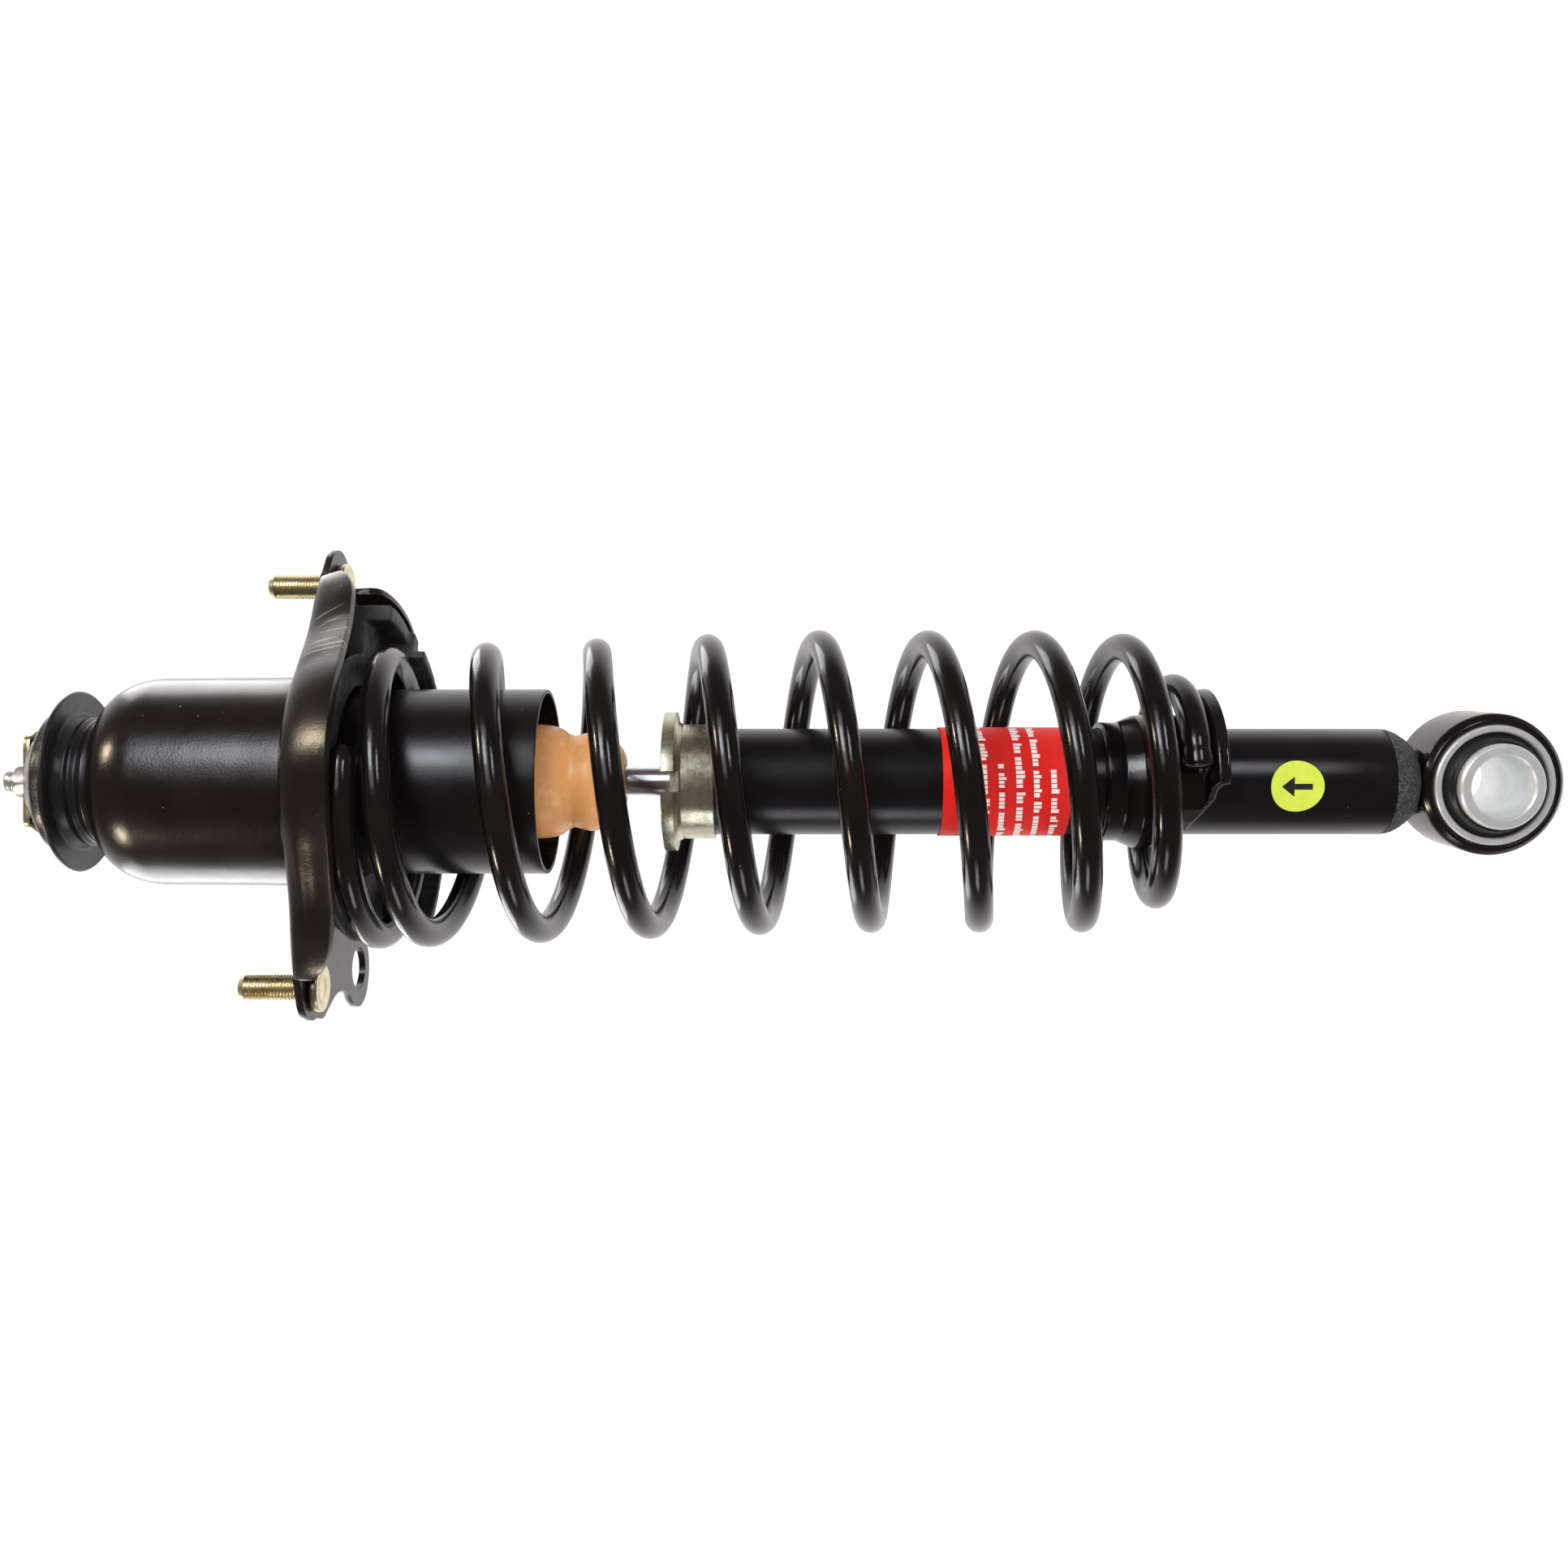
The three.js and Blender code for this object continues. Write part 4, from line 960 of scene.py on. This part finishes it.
place(lathe("collar_sleeve", [
    (21.65, -333, 0.2), (21.65, -313, 0.2), (23.5, -312.9, 0.5), (23.85, -314, 0.4), (23.9, -320.4, 2.5), (25.2, -323.4, 3), (26.7, -327, 2.5), (26.85, -333, 0.2)],
    GLOSS, 160, turn=CLOCK, n=6), "damper", "black_paint", "seat_collar")


def spring_seat():
    ob = lathe("seat_pressing", [
        (21.65, -356.4), (24.2, -356.4), (24.2, -353), (33, -353), (35, -354.4), (35.6, -357), (37.6, -356.6), (37, -352.4),
        (34.6, -350.3), (27.8, -350.3), (26.9, -349.4), (26.7, -333.35), (21.65, -333.35)], GLOSS, 128, default=0.7)
    a = prism("seat_cut", [(0.8, -80), (0.8, -38), (-15.8, -18.6), (-23.4, -8), (-24.6, 4), (-24.6, 60), (-80, 60), (-80, -80)], -400, -340, GLOSS)
    b = prism("seat_slope", [(0.8, -357.6), (-60, -321), (-60, -400), (0.8, -400)], -80, 60, GLOSS, along="Y")
    cut(ob, a, b)
    rubberise(ob, 0.55, 2, 0.5, sharp=60)
    ob.data.materials.clear()
    ob.data.materials.append(GLOSS)
    ob.data.transform(Matrix.Rotation(CLOCK, 4, "Z"))
    close_mesh(ob.data, 60)
    return place(ob, "damper", "black_paint", "lower_spring_seat")


spring_seat()


# ------------------------------------------------------------------ labels
def label_band():
    prof = [(21.62, -299, 0.05), (21.62, -249, 0.05), (21.9, -249, 0.08), (21.9, -299, 0.08)]
    ob = lathe("band_label", prof, RED, 160, n=2)
    place(ob, "damper", "red_label", "label_band")
    # rows of plain bars stand for the small print
    rng = np.random.RandomState(11)
    verts, faces = [], []

    def patch(t0, t1, z0, z1, r0=21.86, r1=21.97):
        k = max(2, int((t1 - t0) / 0.05))
        base = len(verts)
        for i in range(k + 1):
            t = t0 + (t1 - t0) * i / k
            for r, z in ((r0, z0), (r1, z0), (r1, z1), (r0, z1)):
                verts.append((r * math.cos(t), r * math.sin(t), z))
        for i in range(k):
            for j in range(4):
                q = (j + 1) % 4
                a = base + i * 4
                faces.append((a + j, a + q, a + 4 + q, a + 4 + j))
        faces.append((base, base + 1, base + 2, base + 3))
        e = base + k * 4
        faces.append((e + 3, e + 2, e + 1, e))
    rows = ((-258.8, 2.8, -2.62), (-265.6, 2.8, 0.2), (-272.2, 3.0, -1.14), (-279.2, 3.4, 0.2), (-285.8, 3.0, 0.2), (-292.6, 3.0, -1.2))
    for z, h, end in rows:
        t = -math.pi - 0.15 + 0.12 * rng.rand()
        while t < end:
            for _ in range(rng.randint(2, 8)):
                w = (1.0 + 0.75 * rng.rand()) / 21.9
                tall = h if rng.rand() < 0.3 else h * 0.72
                lean = 0.035 * (t + math.pi / 2) * 21.9  # the band sits a little askew
                if t + w < end + 0.05:
                    patch(t, t + w, z - h / 2 + lean + (h - tall), z + h / 2 + lean)
                t += w + 0.42 / 21.9
            t += 1.5 / 21.9
    ob = build("band_print", verts, faces, INK, 30, merge=1e-9)
    return place(ob, "damper", "red_label")


label_band()


def dot():
    R, C = 21.9, -387.0

    def on(a, b, r):
        t = -math.pi / 2 + a / R
        return (r * math.cos(t), r * math.sin(t), C + b)
    rings, seg = np.linspace(0, 10.4, 12), 96
    verts, faces = [], []
    layers = [(21.62, rings), (21.93, rings[::-1])]
    rows = [(21.6, r) for r in rings] + [(21.88, 10.4), (21.93, 10.3)] + [(21.93, r) for r in rings[::-1][1:]]
    for lay, r in rows:
        for j in range(seg):
            t = 2 * math.pi * j / seg
            verts.append(on(r * math.cos(t), r * math.sin(t), lay))
    for i in range(len(rows) - 1):
        for j in range(seg):
            q = (j + 1) % seg
            faces.append((i * seg + j, i * seg + q, (i + 1) * seg + q, (i + 1) * seg + j))
    place(build("dot_label", verts, faces, YELLOW, 30), "damper", "yellow_label", "round_label")
    # a plain arrow along the strut
    verts, faces = [], []

    def strip(half, z0, z1, n=10, k=6):
        base = len(verts)
        for lay in (21.9, 21.99):
            for i in range(n + 1):
                u = i / n
                w, b = half(u), z0 + (z1 - z0) * u
                for j in range(k + 1):
                    verts.append(on(w * (2 * j / k - 1), b, lay))
        m = (n + 1) * (k + 1)
        for i in range(n):
            for j in range(k):
                a = base + i * (k + 1) + j
                f = (a, a + 1, a + k + 2, a + k + 1)
                faces.append(f[::-1])
                faces.append(tuple(x + m for x in f))
        rim = [i * (k + 1) for i in range(n + 1)] + [n * (k + 1) + j for j in range(1, k + 1)]
        rim += [i * (k + 1) + k for i in range(n - 1, -1, -1)] + [j for j in range(k - 1, 0, -1)]
        for i in range(len(rim)):
            a, b = base + rim[i], base + rim[(i + 1) % len(rim)]
            faces.append((a, b, b + m, a + m))
    strip(lambda u: 1.15, -5.8, 1.2)
    strip(lambda u: 3.9 * (1 - u) + 0.05, 1.25, 6.2)
    place(build("dot_mark", verts, faces, MARK, 30, merge=1e-9), "damper", "yellow_label")


dot()

# ------------------------------------------------------------------ eye and bush
place(lathe("eye_shell", [
    (24.1, -15.4, 0.4), (24.7, -16, 0.4), (25.8, -16, 2.0), (28.2, -13.6, 2.6), (28.2, 13.6, 2.6), (25.8, 16, 2.0), (24.7, 16, 0.4), (24.1, 15.4, 0.4)],
    GLOSS, 180, axis="Y", n=6, warp=lambda r, h, t: (r + (0.09 * noise.noise(Vector((math.cos(t) * 2.2, math.sin(t) * 2.2, h * 0.09))) if r > 27 else 0), h)),
    "damper", "black_paint", "eye_ring")
place(lathe("bush_shell", [
    (20.9, -16.4, 0.5), (21.5, -17, 0.4), (23.2, -17, 0.5), (23.75, -16.4, 0.5), (23.75, 16.4, 0.5), (23.2, 17, 0.5), (21.5, 17, 0.4), (20.9, 16.4, 0.5)],
    SLEEVE, 180, axis="Y"), "damper", "clear_zinc", "bush_outer_sleeve")
place(lathe("bush_core_rubber", [
    (17.15, -20.5, 0.6), (17.9, -20.3, 1), (18.7, -18.6, 1), (19.6, -16.4, 1), (20.55, -15.4, 0.3), (20.55, 15.4, 0.3), (19.6, 16.4, 1), (18.7, 18.6, 1), (17.9, 20.3, 1), (17.15, 20.5, 0.6)],
    BUSHING, 160, axis="Y"), "damper", "rubber", "bush_rubber")
place(lathe("bush_core_sleeve", [
    (12.2, -23.1, 0.6), (13.1, -24, 0.8), (15.9, -24, 0.9), (16.8, -23.0, 0.9), (16.8, 23.0, 0.9), (15.9, 24, 0.9), (13.1, 24, 0.8), (12.2, 23.1, 0.6)],
    SLEEVE, 180, axis="Y", n=6), "lower_sleeve", "clear_zinc", "bush_inner_sleeve")

# ------------------------------------------------------------------ CAD pieces that stay: their materials
for node, m in (("bushing_spacer", STEEL), ("rod_seal", SEAL), ("rod_guide", STEEL), ("pressure_tube", STEEL), ("rebound_stop", SEAL), ("rebound_collar", STEEL),
                ("piston", STEEL), ("piston_band", BRONZE), ("piston_nut", STEEL), ("base_valve", STEEL)):
    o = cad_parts[node]
    o = o if hasattr(o, "data") else bpy.data.objects[node]
    o.data.materials.clear()
    o.data.materials.append(m)

# ------------------------------------------------------------------ floor, camera, light
floor_mat = Mat("floor_pale", Roughness=0.75)
floor_mat.base(floor_mat.mix(floor_mat.map(floor_mat.noise(3, 3), 0.3, 0.7, 0, 1), (0.93, 0.93, 0.93), (0.90, 0.90, 0.905)))
floor_mat.bump(floor_mat.noise(900, 2), 0.00002)
floor_mat.b.inputs["Emission Color"].default_value = (1, 1, 1, 1)
floor_mat.b.inputs["Emission Strength"].default_value = 0.75
me = bpy.data.meshes.new("studio_floor")
S, Z = 4.0, -0.4952
me.from_pydata([(-S, -S, Z), (S, -S, Z), (S, S, Z), (-S, S, Z)], [], [(0, 1, 2, 3)])
me.materials.append(floor_mat.m)
floor = bpy.data.objects.new("studio_floor", me)
bpy.context.scene.collection.objects.link(floor)
floor.visible_glossy = False

A = math.radians(5.4)
UP, BACKV, RIGHT = Vector((math.cos(A), math.sin(A), 0)), Vector((math.sin(A), -math.cos(A), 0)), Vector((0, 0, -1))
cam_data = bpy.data.cameras.new("camera")
cam_data.lens, cam_data.sensor_width, cam_data.sensor_height, cam_data.sensor_fit = 35, 36, 36, "AUTO"
cam_data.clip_start, cam_data.clip_end = 0.01, 50
cam = bpy.data.objects.new("camera", cam_data)
bpy.context.scene.collection.objects.link(cam)
pos = BACKV * 0.615 + Vector((0, 0, -0.187)) - UP * 0.001
cam.matrix_world = Matrix(((RIGHT.x, UP.x, BACKV.x, pos.x), (RIGHT.y, UP.y, BACKV.y, pos.y), (RIGHT.z, UP.z, BACKV.z, pos.z), (0, 0, 0, 1)))
bpy.context.scene.camera = cam


def area(name, back, up, z, aim_z, size, power, color, shape="RECTANGLE", size_y=None):
    d = bpy.data.lights.new(name, "AREA")
    d.shape, d.size, d.energy, d.color = shape, size, power, color
    if size_y:
        d.size_y = size_y
    o = bpy.data.objects.new(name, d)
    bpy.context.scene.collection.objects.link(o)
    p = BACKV * back + UP * up + Vector((0, 0, z))
    to = Vector((0, 0, aim_z)) - p
    o.matrix_world = Matrix.Translation(p) @ to.to_track_quat("-Z", "Y").to_matrix().to_4x4()
    return o


COOL, WARM = (0.90, 0.93, 1.0), (1.0, 0.86, 0.62)
area("softbox_a", 0.88, 0.50, 0.26, -0.05, 0.34, 3.6, COOL, size_y=0.36)
area("softbox_a_wide", 0.95, 0.50, 0.20, -0.05, 0.85, 3.0, COOL, size_y=0.55)
area("softbox_b", 0.88, 0.50, -0.62, -0.33, 0.34, 2.0, COOL, size_y=0.20)
area("lamp_a", 0.41, 0.40, 0.88, 0.03, 0.20, 3.0, WARM, shape="DISK")
area("lamp_b", 0.33, -0.73, 0.66, 0.03, 0.20, 3.0, WARM, shape="DISK")
area("low_box", 0.25, -0.95, -0.25, -0.15, 0.35, 1.0, COOL, size_y=0.25)
for rim, up in (("rim_top", 0.62), ("rim_foot", -0.62)):
    o = area(rim, -0.52, up, 0.43, 0.05, 0.56, 2.3, (1, 1, 1), size_y=0.36)
    o.visible_camera = False
    o.data.use_shadow = True

world = bpy.data.worlds.new("studio")
bpy.context.scene.world = world
world.use_nodes = True
wt = world.node_tree
wt.nodes.clear()
wout = wt.nodes.new("ShaderNodeOutputWorld")
lp = wt.nodes.new("ShaderNodeLightPath")
wtc = wt.nodes.new("ShaderNodeTexCoord")
dot_n = wt.nodes.new("ShaderNodeVectorMath")
dot_n.operation = "DOT_PRODUCT"
dot_n.inputs[1].default_value = BACKV
wt.links.new(wtc.outputs["Generated"], dot_n.inputs[0])
ramp = wt.nodes.new("ShaderNodeValToRGB")
mr = wt.nodes.new("ShaderNodeMapRange")
mr.inputs["From Min"].default_value, mr.inputs["From Max"].default_value = -1, 1
wt.links.new(dot_n.outputs["Value"], mr.inputs["Value"])
wt.links.new(mr.outputs[0], ramp.inputs[0])
ramp.color_ramp.interpolation = "B_SPLINE"
el = ramp.color_ramp.elements
el[0].position, el[0].color = 0.0, (0.205, 0.203, 0.205, 1)
el[1].position, el[1].color = 1.0, (0.034, 0.027, 0.025, 1)
for p, c in ((0.03, (0.40, 0.39, 0.385, 1)), (0.12, (0.44, 0.43, 0.425, 1)), (0.25, (0.36, 0.35, 0.35, 1)), (0.34, (0.22, 0.21, 0.21, 1)), (0.40, (0.11, 0.10, 0.098, 1)), (0.46, (0.055, 0.046, 0.044, 1)), (0.60, (0.036, 0.028, 0.026, 1))):
    e = el.new(p)
    e.color = c
def bg(strength, color=None, src=None):
    n = wt.nodes.new("ShaderNodeBackground")
    n.inputs["Strength"].default_value = strength
    if color:
        n.inputs["Color"].default_value = color
    if src:
        wt.links.new(src, n.inputs["Color"])
    return n.outputs[0]
def mixs(fac, a, b):
    n = wt.nodes.new("ShaderNodeMixShader")
    wt.links.new(fac, n.inputs[0])
    wt.links.new(a, n.inputs[1])
    wt.links.new(b, n.inputs[2])
    return n.outputs[0]
shade = mixs(lp.outputs["Is Diffuse Ray"], bg(2.9, src=ramp.outputs[0]), bg(0.45, (1, 0.99, 0.97, 1)))
shade = mixs(lp.outputs["Is Camera Ray"], shade, bg(1.05, (1, 1, 1, 1)))
wt.links.new(shade, wout.inputs[0])
bpy.context.scene.view_settings.view_transform = "Standard"
